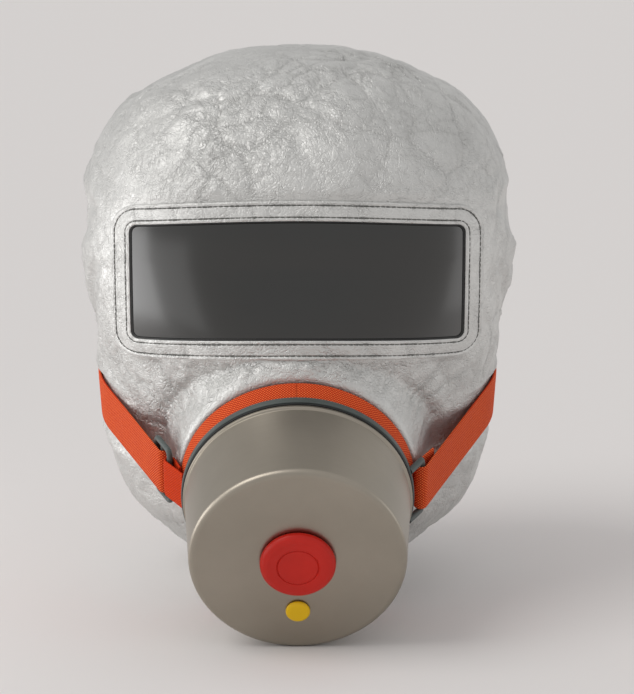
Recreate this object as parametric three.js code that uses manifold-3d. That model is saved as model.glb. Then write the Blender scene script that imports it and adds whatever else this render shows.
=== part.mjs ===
// Filtering escape smoke hood: an aluminised fabric hood with a sewn-in visor, a gathered neck,
// a steel filter canister on a clamped collar, an orange half mask inside and one orange head strap.
// Millimetres, +Z up, the wearer looks along -Y. The object stands on its neck hem and canister rim.

import * as THREE from "three";
import { mergeVertices } from "three/addons/utils/BufferGeometryUtils.js";
import Module from "manifold-3d";

const wasm = await Module();
wasm.setup();

// ---- Driving dimensions ----
const GAP = 0.3; // clearance between neighbouring pieces
const DEPTH_SHIFT = 28.75; // moves the middle of the object's depth over the origin

const HOOD_HEIGHT = 278;
const CROWN_START = 180; // height where the hood is widest and the crown begins to close
const CROWN_POWER = 2.4; // superellipse power of the crown
const FABRIC = 1.2;
const HEM_HEIGHT = 12.7;

const VISOR_HALF_WIDTH = 81;
const VISOR_BOTTOM = 146.5;
const VISOR_TOP = 202;
const VISOR_DROOP = 5.5; // how much lower the visor sits at its ends than in its middle
const VISOR_CORNER = 3;
const FRAME_MARGIN = 10.5; // width of the sewn fabric frame round the visor
const FRAME_CORNER = 13;

const CANISTER_TILT = THREE.MathUtils.degToRad(22);
const CANISTER_REAR = new THREE.Vector3(0, -105, 65.95); // centre of the canister's rear rim
const CANISTER_LENGTH = 50;
const CANISTER_REAR_RADIUS = 56;
const CANISTER_FRONT_RADIUS = 52;
const CANISTER_CREASE = 3.5; // radius between wall and front face
const SHEET = 0.7; // canister sheet thickness
const INLET_RADIUS = 11;
const TEST_PORT_OFFSET = 28.6;
const TEST_PORT_RADIUS = 3.3;
const PORT_PLANE = -18; // where the hood fabric is clamped, measured along the canister axis
const PORT_RADIUS = 45.2; // hole in the fabric for the collar sleeve
const COLLAR_FRONT = -5.6; // where the collar's rim ends and the orange band begins
const COLLAR_RADIUS = 53; // there; the collar flares from it towards the hood
const COLLAR_FLARE = 0.26; // radius gained for each millimetre backwards
const OUTLET_RADIUS = 17.5;

const WEBBING = 1.4;
const STRAP_WIDTH = 25;
const STRAP_SLOPE = 0.28; // rise of the strap towards the back of the head
const BAR = 1.3; // radius of the buckle bars
const TAB_WIDTH = 21;
const BEND = BAR + 0.4 + WEBBING / 2; // webbing's centreline radius where it turns round a bar

// ---- Canister frame: s runs forward along the canister axis, w down in its plane ----
const FORWARD = new THREE.Vector3(0, -Math.cos(CANISTER_TILT), -Math.sin(CANISTER_TILT));
const DOWN = new THREE.Vector3(0, Math.sin(CANISTER_TILT), -Math.cos(CANISTER_TILT));

function canisterPoint(x, s, w) {
  return new THREE.Vector3(x, 0, 0)
    .addScaledVector(FORWARD, s)
    .addScaledVector(DOWN, w)
    .add(CANISTER_REAR);
}

function collarRadius(s) {
  return COLLAR_RADIUS + COLLAR_FLARE * (COLLAR_FRONT - s);
}

// ---- Materials ----
function finish(color, roughness, metalness = 0) {
  return new THREE.MeshStandardMaterial({ color, roughness, metalness });
}

const MATERIALS = {
  fabric: finish(0xb9bab8, 0.42, 0.75),
  visor: finish(0x2c2d2b, 0.15),
  blackRubber: finish(0x1d1f1f, 0.6),
  steel: finish(0x8b857a, 0.38, 1),
  greyPlastic: finish(0x454c4b, 0.55),
  webbing: finish(0xd9501f, 0.85),
  redRubber: finish(0xb02a1c, 0.45),
  yellowPlastic: finish(0xd9b01c, 0.4),
  silicone: finish(0x3a3d3f, 0.6),
  elastic: finish(0xe6e3da, 0.9),
  filterPaper: finish(0xe9e4d6, 0.95),
  carbon: finish(0x181818, 0.95),
  springSteel: finish(0xa9abab, 0.35, 1),
  clearValve: finish(0xd8dad6, 0.5),
};

// ---- Solids ----
const model = new THREE.Group();
model.position.y = DEPTH_SHIFT;
const canister = new THREE.Group(); // local x, y = s, z = w
canister.position.copy(CANISTER_REAR);
canister.rotation.x = Math.PI + CANISTER_TILT;
model.add(canister);

function addPiece(name, geometry, material, parent = model) {
  const mesh = new THREE.Mesh(geometry, material);
  mesh.name = name;
  parent.add(mesh);
  return mesh;
}

function solidOf(geometry) {
  const bare = new THREE.BufferGeometry().setAttribute("position", geometry.getAttribute("position"));
  if (geometry.index) bare.setIndex(geometry.index);
  const merged = mergeVertices(bare, 1e-3);
  const triVerts = new Uint32Array(merged.index.array);
  const vertProperties = merged.attributes.position.array;
  return new wasm.Manifold(new wasm.Mesh({ numProp: 3, vertProperties, triVerts }));
}

function geometryOf(solid) {
  const mesh = solid.getMesh();
  const position = new THREE.BufferAttribute(new Float32Array(mesh.vertProperties), 3);
  const index = new THREE.BufferAttribute(new Uint32Array(mesh.triVerts), 1);
  return new THREE.BufferGeometry().setAttribute("position", position).setIndex(index);
}

function signedVolume(points, triangles) {
  const cross = new THREE.Vector3();
  let sum = 0;
  for (let i = 0; i < triangles.length; i += 3) {
    const [a, b, c] = [0, 1, 2].map((k) => points[triangles[i + k]]);
    sum += a.dot(cross.crossVectors(b, c));
  }
  return sum / 6;
}

// A closed body from points and triangles, turned so that its faces point outwards.
function bodyFrom(points, triangles) {
  if (signedVolume(points, triangles) < 0) triangles.reverse();
  const position = new THREE.Float32BufferAttribute(points.flatMap((p) => p.toArray()), 3);
  return new THREE.BufferGeometry().setAttribute("position", position).setIndex(triangles);
}

// Sections of equally many points, joined one after the other; closed in a ring, or capped at both ends.
function loft(sections, ring) {
  const points = sections.flat();
  const width = sections[0].length;
  const triangles = [];
  const spans = ring ? sections.length : sections.length - 1;
  for (let i = 0; i < spans; i++) {
    const here = i * width;
    const next = ((i + 1) % sections.length) * width;
    for (let j = 0; j < width; j++) {
      const k = (j + 1) % width;
      triangles.push(here + j, next + j, next + k, here + j, next + k, here + k);
    }
  }
  if (!ring) {
    const last = (sections.length - 1) * width;
    for (let j = 1; j < width - 1; j++) {
      triangles.push(0, j, j + 1, last, last + j + 1, last + j);
    }
  }
  return bodyFrom(points, triangles);
}

// A body of revolution round the canister axis, from a closed outline of [radius, s].
function turned(outline, segments = 32) {
  const ring = [];
  for (let i = 0; i < segments; i++) {
    const angle = (2 * Math.PI * i) / segments;
    ring.push(outline.map(([r, s]) => new THREE.Vector3(r * Math.sin(angle), s, r * Math.cos(angle))));
  }
  return loft(ring, true);
}

// A solid disc or plug round the canister axis, from an outline of [radius, s] that starts and ends on the axis.
function turnedSolid(outline, segments = 32) {
  const profile = outline.map(([r, s]) => new THREE.Vector2(r, s));
  const lathe = new THREE.LatheGeometry(profile, segments);
  return orientated(lathe);
}

function orientated(geometry) {
  const merged = mergeVertices(
    new THREE.BufferGeometry().setAttribute("position", geometry.getAttribute("position")).setIndex(geometry.index),
    1e-3,
  );
  const position = merged.getAttribute("position");
  const points = [];
  for (let i = 0; i < position.count; i++) points.push(new THREE.Vector3().fromBufferAttribute(position, i));
  const index = merged.index.array;
  const triangles = [];
  for (let i = 0; i < index.length; i += 3) {
    const [a, b, c] = [index[i], index[i + 1], index[i + 2]];
    if (a !== b && b !== c && c !== a) triangles.push(a, b, c);
  }
  return bodyFrom(points, triangles);
}

// A cylinder from one point to another.
function rod(from, to, radius, segments = 12) {
  const along = new THREE.Vector3().subVectors(to, from);
  const geometry = new THREE.CylinderGeometry(radius, radius, along.length(), segments);
  const middle = new THREE.Vector3().addVectors(from, to).multiplyScalar(0.5);
  const turn = new THREE.Quaternion().setFromUnitVectors(new THREE.Vector3(0, 1, 0), along.clone().normalize());
  geometry.applyQuaternion(turn);
  return geometry.translate(middle.x, middle.y, middle.z);
}

// ---- Hood surface ----
// Horizontal cross-sections: height, half width, front, widest point's depth, back, and the front's power.
// A front power under 2 draws the cheeks in towards the canister.
const SECTIONS = [
  [0, 54, -44, 8, 60, 2.0],
  [14, 55, -46, 8, 62, 2.0],
  [26, 67, -58, 8, 73, 1.9],
  [46, 88, -77, 5, 90, 1.75],
  [78, 98.7, -90.5, 3, 103, 1.6],
  [110, 101.5, -103, 3, 107, 1.65],
  [140, 107, -108, 3, 110, 2.0],
  [CROWN_START, 110.5, -104, 3, 112, 2.3],
];

// Smooth interpolation of the table at height z (cubic Hermite, slopes from the neighbouring rows).
function sectionAt(z) {
  const last = SECTIONS.length - 1;
  let i = 0;
  while (i < last - 1 && SECTIONS[i + 1][0] < z) i++;
  const [a, b] = [SECTIONS[i], SECTIONS[i + 1]];
  const before = SECTIONS[Math.max(0, i - 1)];
  const after = SECTIONS[Math.min(last, i + 2)];
  const span = b[0] - a[0];
  const t = (z - a[0]) / span;
  return a.slice(1).map((start, k) => {
    const c = k + 1;
    const slopeA = ((b[c] - before[c]) / (b[0] - before[0])) * span;
    const slopeB = ((after[c] - a[c]) / (after[0] - a[0])) * span;
    const [t2, t3] = [t * t, t * t * t];
    return (
      start * (2 * t3 - 3 * t2 + 1) + slopeA * (t3 - 2 * t2 + t) + b[c] * (3 * t2 - 2 * t3) + slopeB * (t3 - t2)
    );
  });
}

const BOSS_INNER = 58; // the fabric lies flat against the collar inside this radius
const BOSS_OUTER = 68; // and keeps the hood's own shape outside this one

// A point of the hood's outer surface: level 0 at the hem, 1 where the crown starts, 2 at the top;
// angle 0 at the front, growing towards +X.
function hoodPoint(level, angle) {
  const crown = Math.max(0, level - 1) * (Math.PI / 2);
  const closing = Math.cos(crown) ** (2 / CROWN_POWER);
  const rise = (HOOD_HEIGHT - CROWN_START) * Math.sin(crown) ** (2 / CROWN_POWER);
  const z = Math.min(level, 1) * CROWN_START + rise;
  const [half, front, side, back, power] = sectionAt(Math.min(z, CROWN_START));
  const [sin, cos] = [Math.sin(angle), Math.cos(angle)];
  const exponent = cos > 0 ? 2 / power : 1;
  const reach = (cos > 0 ? side - front : back - side) * closing;
  const x = half * closing * Math.sign(sin) * Math.abs(sin) ** exponent;
  const y = side - reach * Math.sign(cos) * Math.abs(cos) ** exponent;
  const point = new THREE.Vector3(x, y, z);

  const fromRim = new THREE.Vector3().subVectors(point, CANISTER_REAR);
  const radius = Math.hypot(x, fromRim.dot(DOWN));
  const pull =
    (1 - THREE.MathUtils.smoothstep(radius, BOSS_INNER, BOSS_OUTER)) *
    THREE.MathUtils.smoothstep(cos, 0, 0.35) *
    THREE.MathUtils.smoothstep(z, HEM_HEIGHT, 22);
  return point.addScaledVector(FORWARD, (PORT_PLANE - fromRim.dot(FORWARD)) * pull);
}

function hoodNormal(level, angle) {
  const step = 0.01;
  const high = Math.min(level, 2 - 2 * step);
  const up = hoodPoint(high + step, angle).sub(hoodPoint(Math.max(0, high - step), angle));
  const round = hoodPoint(high, angle + step).sub(hoodPoint(high, angle - step));
  return round.cross(up).normalize();
}

const COLUMNS = 38;
const CROWDING = 0.5; // how much closer together the columns stand at the front
const HEM_LEVEL = (HEM_HEIGHT + GAP) / CROWN_START;
const LOWER_ROWS = 14;
const CROWN_ROWS = 6;

// Rows of hood points, moved outwards by offset, from above the hem to just under the top.
function hoodRows(offset) {
  const levels = [];
  for (let i = 0; i <= LOWER_ROWS; i++) levels.push(HEM_LEVEL + ((1 - HEM_LEVEL) * i) / LOWER_ROWS);
  for (let i = 1; i < CROWN_ROWS; i++) levels.push(1 + i / CROWN_ROWS);
  return levels.map((level) =>
    Array.from({ length: COLUMNS }, (_, j) => {
      const even = (2 * Math.PI * (j + 0.5)) / COLUMNS;
      const angle = even - CROWDING * Math.sin(even);
      return hoodPoint(level, angle).addScaledVector(hoodNormal(level, angle), offset);
    }),
  );
}

// The hood as a shell between two offsets from its outer surface, open at the neck.
function hoodShell(outer, inner) {
  const top = [outer, inner].map((offset) => hoodPoint(2, 0).add(new THREE.Vector3(0, 0, offset)));
  const [outerRows, innerRows] = [hoodRows(outer), hoodRows(inner)];
  const rowCount = outerRows.length;
  const points = [...outerRows.flat(), ...innerRows.flat(), ...top];
  const triangles = [];
  const at = (skin, row, column) => (skin * rowCount + row) * COLUMNS + (column % COLUMNS);
  for (let j = 0; j < COLUMNS; j++) {
    for (let i = 0; i < rowCount - 1; i++) {
      const [a, b, c, d] = [at(0, i, j), at(0, i, j + 1), at(0, i + 1, j + 1), at(0, i + 1, j)];
      triangles.push(a, b, c, a, c, d);
      const [e, f, g, h] = [at(1, i, j), at(1, i, j + 1), at(1, i + 1, j + 1), at(1, i + 1, j)];
      triangles.push(e, g, f, e, h, g);
    }
    const apex = points.length - 2;
    triangles.push(at(0, rowCount - 1, j), at(0, rowCount - 1, j + 1), apex);
    triangles.push(at(1, rowCount - 1, j + 1), at(1, rowCount - 1, j), apex + 1);
    triangles.push(at(0, 0, j + 1), at(0, 0, j), at(1, 0, j));
    triangles.push(at(0, 0, j + 1), at(1, 0, j), at(1, 0, j + 1));
  }
  return solidOf(bodyFrom(points, triangles));
}

// ---- Visor opening: a drooping rounded rectangle pushed through the hood's front ----
function visorCutter(grow, corner) {
  const [halfWidth, bottom, top] = [VISOR_HALF_WIDTH + grow, VISOR_BOTTOM - grow, VISOR_TOP + grow];
  const shape = new THREE.Shape();
  shape.moveTo(halfWidth - corner, bottom);
  shape.absarc(halfWidth - corner, bottom + corner, corner, -Math.PI / 2, 0);
  shape.absarc(halfWidth - corner, top - corner, corner, 0, Math.PI / 2);
  shape.absarc(-halfWidth + corner, top - corner, corner, Math.PI / 2, Math.PI);
  shape.absarc(-halfWidth + corner, bottom + corner, corner, Math.PI, Math.PI * 1.5);
  const corners = shape.getPoints(4);
  const outline = corners.flatMap((corner, i) => {
    const next = corners[(i + 1) % corners.length];
    const count = Math.ceil(corner.distanceTo(next) / 14 - 1e-6);
    return Array.from({ length: count }, (_, k) => {
      const point = corner.clone().lerp(next, k / count);
      point.y -= VISOR_DROOP * (point.x / VISOR_HALF_WIDTH) ** 2;
      return point;
    });
  });
  const reach = 110;
  const prism = new THREE.ExtrudeGeometry(new THREE.Shape(outline), { depth: reach, bevelEnabled: false });
  prism.rotateX(Math.PI / 2); // the shape's y becomes z, and it runs towards -Y
  prism.translate(0, -30, 0);
  return solidOf(orientated(prism));
}

function makeHood() {
  const gasketWidth = 2.4;
  const window = visorCutter(gasketWidth + 2 * GAP, VISOR_CORNER + gasketWidth);
  const paneEdge = visorCutter(0, VISOR_CORNER);
  const gasketOuter = visorCutter(gasketWidth + GAP, VISOR_CORNER + gasketWidth);
  const gasketInner = visorCutter(GAP, VISOR_CORNER);
  const frameInner = visorCutter(1.3, VISOR_CORNER + 1);
  const frameOuter = visorCutter(FRAME_MARGIN, FRAME_CORNER);
  const portAxis = [canisterPoint(0, PORT_PLANE - 25, 0), canisterPoint(0, PORT_PLANE + 25, 0)];
  const port = solidOf(rod(...portAxis, PORT_RADIUS, 40));

  const shell = hoodShell(0, -FABRIC).subtract(window).subtract(port);
  addPiece("hood_shell", geometryOf(shell), MATERIALS.fabric);
  addPiece("visor_pane", geometryOf(hoodShell(-0.15, -1.05).intersect(paneEdge)), MATERIALS.visor);
  const gasket = hoodShell(0, -FABRIC).intersect(gasketOuter).subtract(gasketInner);
  addPiece("visor_gasket", geometryOf(gasket), MATERIALS.blackRubber);
  const patch = hoodShell(GAP + 0.9, GAP).intersect(frameOuter).subtract(frameInner);
  addPiece("visor_frame", geometryOf(patch), MATERIALS.fabric);
  const lining = hoodShell(-FABRIC - GAP, -FABRIC - GAP - 0.8).intersect(frameOuter).subtract(frameInner);
  addPiece("visor_inner_binding", geometryOf(lining), MATERIALS.fabric);
}

// ---- Neck: a channel of folded fabric with an elastic band in it ----
function neckRing(outline) {
  const sections = [];
  const count = 40;
  const [half, front, side, back] = sectionAt(HEM_HEIGHT / 2);
  for (let i = 0; i < count; i++) {
    const angle = (2 * Math.PI * i) / count;
    const [sin, cos] = [Math.sin(angle), Math.cos(angle)];
    const depth = cos > 0 ? side - front : back - side;
    sections.push(outline.map(([o, z]) => new THREE.Vector3((half + o) * sin, side - (depth + o) * cos, z)));
  }
  return loft(sections, true);
}

function makeNeck() {
  const wall = FABRIC;
  const [outer, inner] = [0.5, -1.7]; // channel walls, from the hem line
  const channel = [
    [outer + wall, 0],
    [outer + wall, HEM_HEIGHT],
    [outer, HEM_HEIGHT],
    [outer, wall],
    [inner, wall],
    [inner, HEM_HEIGHT],
    [inner - wall, HEM_HEIGHT],
    [inner - wall, 0],
  ];
  addPiece("neck_hem", neckRing(channel), MATERIALS.fabric);
  const band = [
    [outer - GAP, wall + GAP],
    [outer - GAP, HEM_HEIGHT - 2],
    [inner + GAP, HEM_HEIGHT - 2],
    [inner + GAP, wall + GAP],
  ];
  addPiece("neck_elastic", neckRing(band), MATERIALS.elastic);
}

// ---- Canister ----
function canRadius(s) {
  return CANISTER_REAR_RADIUS - 0.9 - ((CANISTER_REAR_RADIUS - 0.9 - CANISTER_FRONT_RADIUS) * s) / CANISTER_LENGTH;
}

function crease(radius, flat, count = 4) {
  const outline = [];
  for (let i = 0; i <= count; i++) {
    const angle = (Math.PI / 2) * (i / count);
    const [r, s] = [canRadius(flat) - CANISTER_CREASE, flat - CANISTER_CREASE];
    outline.push([r + radius * Math.cos(angle), s + radius * Math.sin(angle)]);
  }
  return outline;
}

function makeCan() {
  const face = CANISTER_LENGTH;
  const outline = [
    [CANISTER_REAR_RADIUS, 0],
    [CANISTER_REAR_RADIUS, 1.6],
    [canRadius(2.4), 2.4],
    ...crease(CANISTER_CREASE, face),
    [INLET_RADIUS, face],
    [INLET_RADIUS, face - SHEET],
    ...crease(CANISTER_CREASE - SHEET, face).reverse(),
    [canRadius(0) - SHEET, 0],
  ];
  const start = new THREE.Vector3(0, face - 5, TEST_PORT_OFFSET);
  const end = new THREE.Vector3(0, face + 5, TEST_PORT_OFFSET);
  const can = solidOf(turned(outline, 40)).subtract(solidOf(rod(start, end, TEST_PORT_RADIUS, 16)));
  addPiece("canister_can", geometryOf(can), MATERIALS.steel, canister);

  const neckEnd = -34;
  const cover = [
    [OUTLET_RADIUS, neckEnd],
    [OUTLET_RADIUS + 2.2, neckEnd],
    [OUTLET_RADIUS + 2.2, 0.3],
    [canRadius(0) - SHEET - 0.5, 0.3],
    [canRadius(0) - SHEET - 0.5, 1.5],
    [OUTLET_RADIUS, 1.5],
  ];
  addPiece("canister_rear_cover", turned(cover), MATERIALS.steel, canister);
  const gasket = [
    [50.3, -1.2],
    [CANISTER_REAR_RADIUS + 0.4, -1.2],
    [CANISTER_REAR_RADIUS + 0.4, -GAP],
    [50.3, -GAP],
  ];
  addPiece("canister_gasket", turned(gasket, 40), MATERIALS.blackRubber, canister);
}

function perforatedPlate(radius, from, thickness) {
  const shape = new THREE.Shape().absarc(0, 0, radius, 0, 2 * Math.PI);
  for (const [count, distance, hole] of [[1, 0, 3], [6, 14, 4], [12, 31, 5]]) {
    for (let i = 0; i < count; i++) {
      const angle = (2 * Math.PI * i) / count;
      const path = new THREE.Path();
      path.absarc(distance * Math.cos(angle), distance * Math.sin(angle), hole, 0, 2 * Math.PI, true);
      shape.holes.push(path);
    }
  }
  const plate = new THREE.ExtrudeGeometry(shape, { depth: thickness, bevelEnabled: false, curveSegments: 4 });
  plate.rotateX(-Math.PI / 2);
  return orientated(plate.translate(0, from, 0));
}

function disc(radius, from, to) {
  return turnedSolid([[0, from], [radius, from], [radius, to], [0, to]]);
}

// The filter's layers, from the outlet to the inlet.
function makeFilter() {
  const waves = 5;
  const springSections = [];
  for (let i = 0; i < 60; i++) {
    const angle = (2 * Math.PI * i) / 60;
    const s = 3.5 + 1.1 * Math.cos(waves * angle);
    const square = [[44, -0.4], [48, -0.4], [48, 0.4], [44, 0.4]];
    springSections.push(
      square.map(([r, lift]) => new THREE.Vector3(r * Math.sin(angle), s + lift, r * Math.cos(angle))),
    );
  }
  addPiece("wave_spring", loft(springSections, true), MATERIALS.springSteel, canister);
  addPiece("rear_plate", perforatedPlate(51, 5.5, 1), MATERIALS.steel, canister);
  addPiece("dust_felt", disc(50.8, 7, 9.5), MATERIALS.filterPaper, canister);
  addPiece("carbon_bed", disc(50.2, 10, 30.5), MATERIALS.carbon, canister);
  addPiece("bed_screen", disc(50.2, 31, 31.8), MATERIALS.springSteel, canister);

  const [pleats, low, high, rim] = [6, 32.4, 40.4, 49.6];
  const pad = [[0, low]];
  for (let i = 1; i < 2 * pleats; i++) pad.push([(rim * i) / (2 * pleats), low + (i % 2 ? 2.4 : 0)]);
  pad.push([rim, low], [rim, high]);
  for (let i = 2 * pleats - 1; i > 0; i--) pad.push([(rim * i) / (2 * pleats), high - (i % 2 ? 0 : 2.4)]);
  pad.push([0, high - 2.4]);
  addPiece("particle_filter", turnedSolid(pad, 24), MATERIALS.filterPaper, canister);
  addPiece("front_plate", perforatedPlate(49.4, 41.2, 1), MATERIALS.steel, canister);
}

// ---- Plugs ----
function makePlugs() {
  const face = CANISTER_LENGTH + GAP;
  const inlet = [
    [0, face - 6.3],
    [INLET_RADIUS - 1.2, face - 6.3],
    [INLET_RADIUS - 0.4, face - 5],
    [INLET_RADIUS - 0.4, face],
    [17.6, face],
    [17.9, face + 1.4],
    [17.4, face + 3.1],
    [16, face + 4.1],
    [14, face + 4.4],
    [10, face + 4.4],
    [9.4, face + 3.7],
    [0, face + 3.7],
  ];
  addPiece("inlet_plug", turnedSolid(inlet, 32), MATERIALS.redRubber, canister);

  const test = [
    [0, face - 4],
    [TEST_PORT_RADIUS - 0.3, face - 4],
    [TEST_PORT_RADIUS - 0.3, face],
    [5.8, face],
    [5.8, face + 1],
    [4.9, face + 1.9],
    [0, face + 2.3],
  ];
  const plug = turnedSolid(test, 20).translate(0, 0, TEST_PORT_OFFSET);
  addPiece("test_port_plug", plug, MATERIALS.yellowPlastic, canister);

  const neckEnd = -34 - GAP;
  const outlet = [
    [0, neckEnd + 9],
    [OUTLET_RADIUS - 1, neckEnd + 9],
    [OUTLET_RADIUS - 0.4, neckEnd + 7.5],
    [OUTLET_RADIUS - 0.4, neckEnd],
    [19.4, neckEnd],
    [19.4, neckEnd - 2.4],
    [18.4, neckEnd - 3.4],
    [5, neckEnd - 3.4],
    [4, neckEnd - 8],
    [0, neckEnd - 8.6],
  ];
  addPiece("outlet_plug", turnedSolid(outlet.reverse()), MATERIALS.redRubber, canister);
}

// ---- Collar: clamps the fabric, seats the canister and carries the strap's fixed loop ----
const LOOP_X = 60.5; // centre of the fixed loop's bar, from the canister axis
const LOOP_S = -13;
const LOOP_TURN = THREE.MathUtils.degToRad(35); // the strap's way out from the loop, off the canister axis
const LOOP_HALF = STRAP_WIDTH / 2 + 1.6;

function makeCollar() {
  const ring = [
    [CANISTER_REAR_RADIUS + 0.9, -1.5],
    [CANISTER_REAR_RADIUS + 0.9, COLLAR_FRONT],
    [collarRadius(COLLAR_FRONT), COLLAR_FRONT],
    [collarRadius(PORT_PLANE + GAP), PORT_PLANE + GAP],
    [PORT_RADIUS - 0.4, PORT_PLANE + GAP],
    [PORT_RADIUS - 0.4, -26.5],
    [PORT_RADIUS - 3, -26.5],
    [PORT_RADIUS - 3, -1.5],
  ];
  let collar = solidOf(turned(ring, 40));
  const bar = rod(
    new THREE.Vector3(LOOP_X, LOOP_S, -LOOP_HALF - 1.5),
    new THREE.Vector3(LOOP_X, LOOP_S, LOOP_HALF + 1.5),
    BAR + 0.3,
  );
  collar = collar.add(solidOf(bar));
  for (const side of [-1, 1]) {
    const arm = rod(
      new THREE.Vector3(54.2, -3.4, side * (LOOP_HALF + 0.6)),
      new THREE.Vector3(LOOP_X + 0.5, LOOP_S - 1, side * (LOOP_HALF + 0.6)),
      1.7,
      8,
    );
    collar = collar.add(solidOf(arm));
  }
  addPiece("collar_ring", geometryOf(collar), MATERIALS.greyPlastic, canister);

  const [bandFront, bandBack] = [COLLAR_FRONT - 0.5, PORT_PLANE + 1.2];
  const band = [
    [collarRadius(bandBack) + GAP, bandBack],
    [collarRadius(bandBack) + GAP + WEBBING, bandBack],
    [collarRadius(bandFront) + GAP + WEBBING, bandFront],
    [collarRadius(bandFront) + GAP, bandFront],
  ];
  addPiece("collar_band", turned(band, 40), MATERIALS.webbing, canister);

  const nut = new THREE.Shape();
  const lobes = 12;
  for (let i = 0; i < lobes * 4; i++) {
    const angle = (2 * Math.PI * i) / (lobes * 4);
    const radius = i % 4 < 2 ? 49.2 : 48;
    nut[i ? "lineTo" : "moveTo"](radius * Math.cos(angle), radius * Math.sin(angle));
  }
  const bore = new THREE.Path().absarc(0, 0, PORT_RADIUS, 0, 2 * Math.PI, true);
  nut.holes.push(bore);
  const clamp = new THREE.ExtrudeGeometry(nut, { depth: 5, bevelEnabled: false, curveSegments: 16 });
  clamp.rotateX(-Math.PI / 2);
  clamp.translate(0, PORT_PLANE - FABRIC - 5 * GAP - 5, 0);
  addPiece("clamp_nut", orientated(clamp), MATERIALS.greyPlastic, canister);
}

// ---- Half mask: a soft cup over nose and mouth, stretched over the canister's outlet neck ----
const MASK_OUTLINE = [
  [20.2, -27.8],
  [23.4, -27.8],
  [23.4, -32.4],
  [29, -35],
  [37.5, -41],
  [43, -52],
  [45.5, -68],
  [46, -82],
  [43, -87],
  [37, -88],
  [36.5, -86.8],
  [42, -85.2],
  [44, -81],
  [43.5, -68],
  [41, -52],
  [35.8, -42.5],
  [28.2, -37.2],
  [21.2, -35],
];
const VALVE_S = -62;
const VALVE_W = 4;

function makeHalfMask() {
  const sections = [];
  const count = 22;
  for (let i = 0; i < count; i++) {
    const angle = (2 * Math.PI * i) / count;
    sections.push(
      MASK_OUTLINE.map(([r, s]) => {
        const spread = Math.max(0, r - 23.4) / 22.6; // 0 at the round neck, 1 at the wide lip
        const x = r * Math.sin(angle) * (1 - 0.1 * spread * (1 - 0.5 * Math.cos(angle)));
        const w = r * Math.cos(angle) * (1 + 0.06 * spread);
        return new THREE.Vector3(x, s, w);
      }),
    );
  }
  let cup = solidOf(loft(sections, true));
  for (const side of [-1, 1]) {
    const hole = rod(new THREE.Vector3(side * 28, VALVE_S, VALVE_W), new THREE.Vector3(side * 60, VALVE_S, VALVE_W), 11.6, 20);
    cup = cup.subtract(solidOf(hole));
  }
  addPiece("half_mask", geometryOf(cup), MATERIALS.silicone, canister);
  const clamp = [
    [23.8, -32],
    [25, -32],
    [25, -28.4],
    [23.8, -28.4],
  ];
  addPiece("mask_clamp", turned(clamp, 32), MATERIALS.springSteel, canister);
}

// A body of revolution round the X axis at the valve's place, from a closed outline of [radius, x].
function valveTurned(outline, side) {
  const body = turned(outline, 20);
  body.rotateZ(-Math.PI / 2); // the turning axis +y becomes +x
  if (side < 0) body.rotateZ(Math.PI);
  return body.translate(0, VALVE_S, VALVE_W);
}

function makeValve(side, label) {
  const seat = [
    [9, 31.4],
    [13, 31.4],
    [13, 32.6],
    [11.2, 32.6],
    [11.2, 41.6],
    [14.5, 41.6],
    [14.5, 43],
    [9, 43],
  ];
  let spider = solidOf(valveTurned(seat, side));
  for (const [half, wide] of [[10, 0.8], [0.8, 10]]) {
    const spoke = new THREE.BoxGeometry(1.2, half * 2, wide * 2);
    spoke.translate(side * 42.2, VALVE_S, VALVE_W);
    spider = spider.add(solidOf(spoke));
  }
  addPiece("exhale_seat_" + label, geometryOf(spider), MATERIALS.greyPlastic, canister);

  const flap = new THREE.CylinderGeometry(10.8, 10.8, 0.8, 20);
  flap.rotateZ(Math.PI / 2);
  flap.translate(side * 43.8, VALVE_S, VALVE_W);
  addPiece("exhale_flap_" + label, orientated(flap), MATERIALS.clearValve, canister);

  const cover = [
    [13.2, 43.3],
    [14.5, 43.3],
    [14.5, 51.2],
    [12.5, 52.2],
    [5, 52.2],
    [5, 51],
    [12.2, 51],
    [13.2, 50.4],
  ];
  addPiece("exhale_cover_" + label, geometryOf(solidOf(valveTurned(cover, side))), MATERIALS.greyPlastic, canister);
}

// ---- Webbing ----
// A strip of webbing between two edge lines of equally many points.
function strip(lower, upper) {
  const last = lower.length - 1;
  const middle = lower.map((point, i) => point.clone().lerp(upper[i], 0.5));
  const sections = lower.map((low, i) => {
    const high = upper[i];
    const out = middle[Math.min(i + 1, last)].clone().sub(middle[Math.max(i - 1, 0)]);
    out.cross(high.clone().sub(low)).setLength(WEBBING / 2);
    return [low.clone().sub(out), high.clone().sub(out), high.clone().add(out), low.clone().add(out)];
  });
  return loft(sections, false);
}

// The same line at both edges of a strip.
function edges(line, wide, width) {
  return [1, -1].map((side) => line.map((point) => point.clone().addScaledVector(wide, (side * width) / 2)));
}

// Points round a bar, from direction start towards direction toward.
function bend(centre, start, toward, radius) {
  return [0, 45, 90, 135, 180].map((degrees) => {
    const angle = THREE.MathUtils.degToRad(degrees);
    return centre
      .clone()
      .addScaledVector(start, radius * Math.cos(angle))
      .addScaledVector(toward, radius * Math.sin(angle));
  });
}

function between(from, to, count) {
  return Array.from({ length: count }, (_, i) => from.clone().lerp(to, (i + 1) / (count + 1)));
}

// ---- Buckle: a three-bar slide hanging on the webbing tab at the canister's -X side ----
const BUCKLE = canisterPoint(-62.8, -20, 0); // middle of the bar that the tab holds
const BUCKLE_TURN = THREE.MathUtils.degToRad(27);
const BUCKLE_ALONG = new THREE.Vector3(-Math.sin(BUCKLE_TURN), 0, 0) // from bar to bar, towards the strap
  .addScaledVector(FORWARD, -Math.cos(BUCKLE_TURN));
const BUCKLE_OUT = new THREE.Vector3().crossVectors(BUCKLE_ALONG, DOWN); // away from the hood
const BAR_PITCH = 7.5;
const FRAME_HALF = STRAP_WIDTH / 2 + 2.6;

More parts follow.
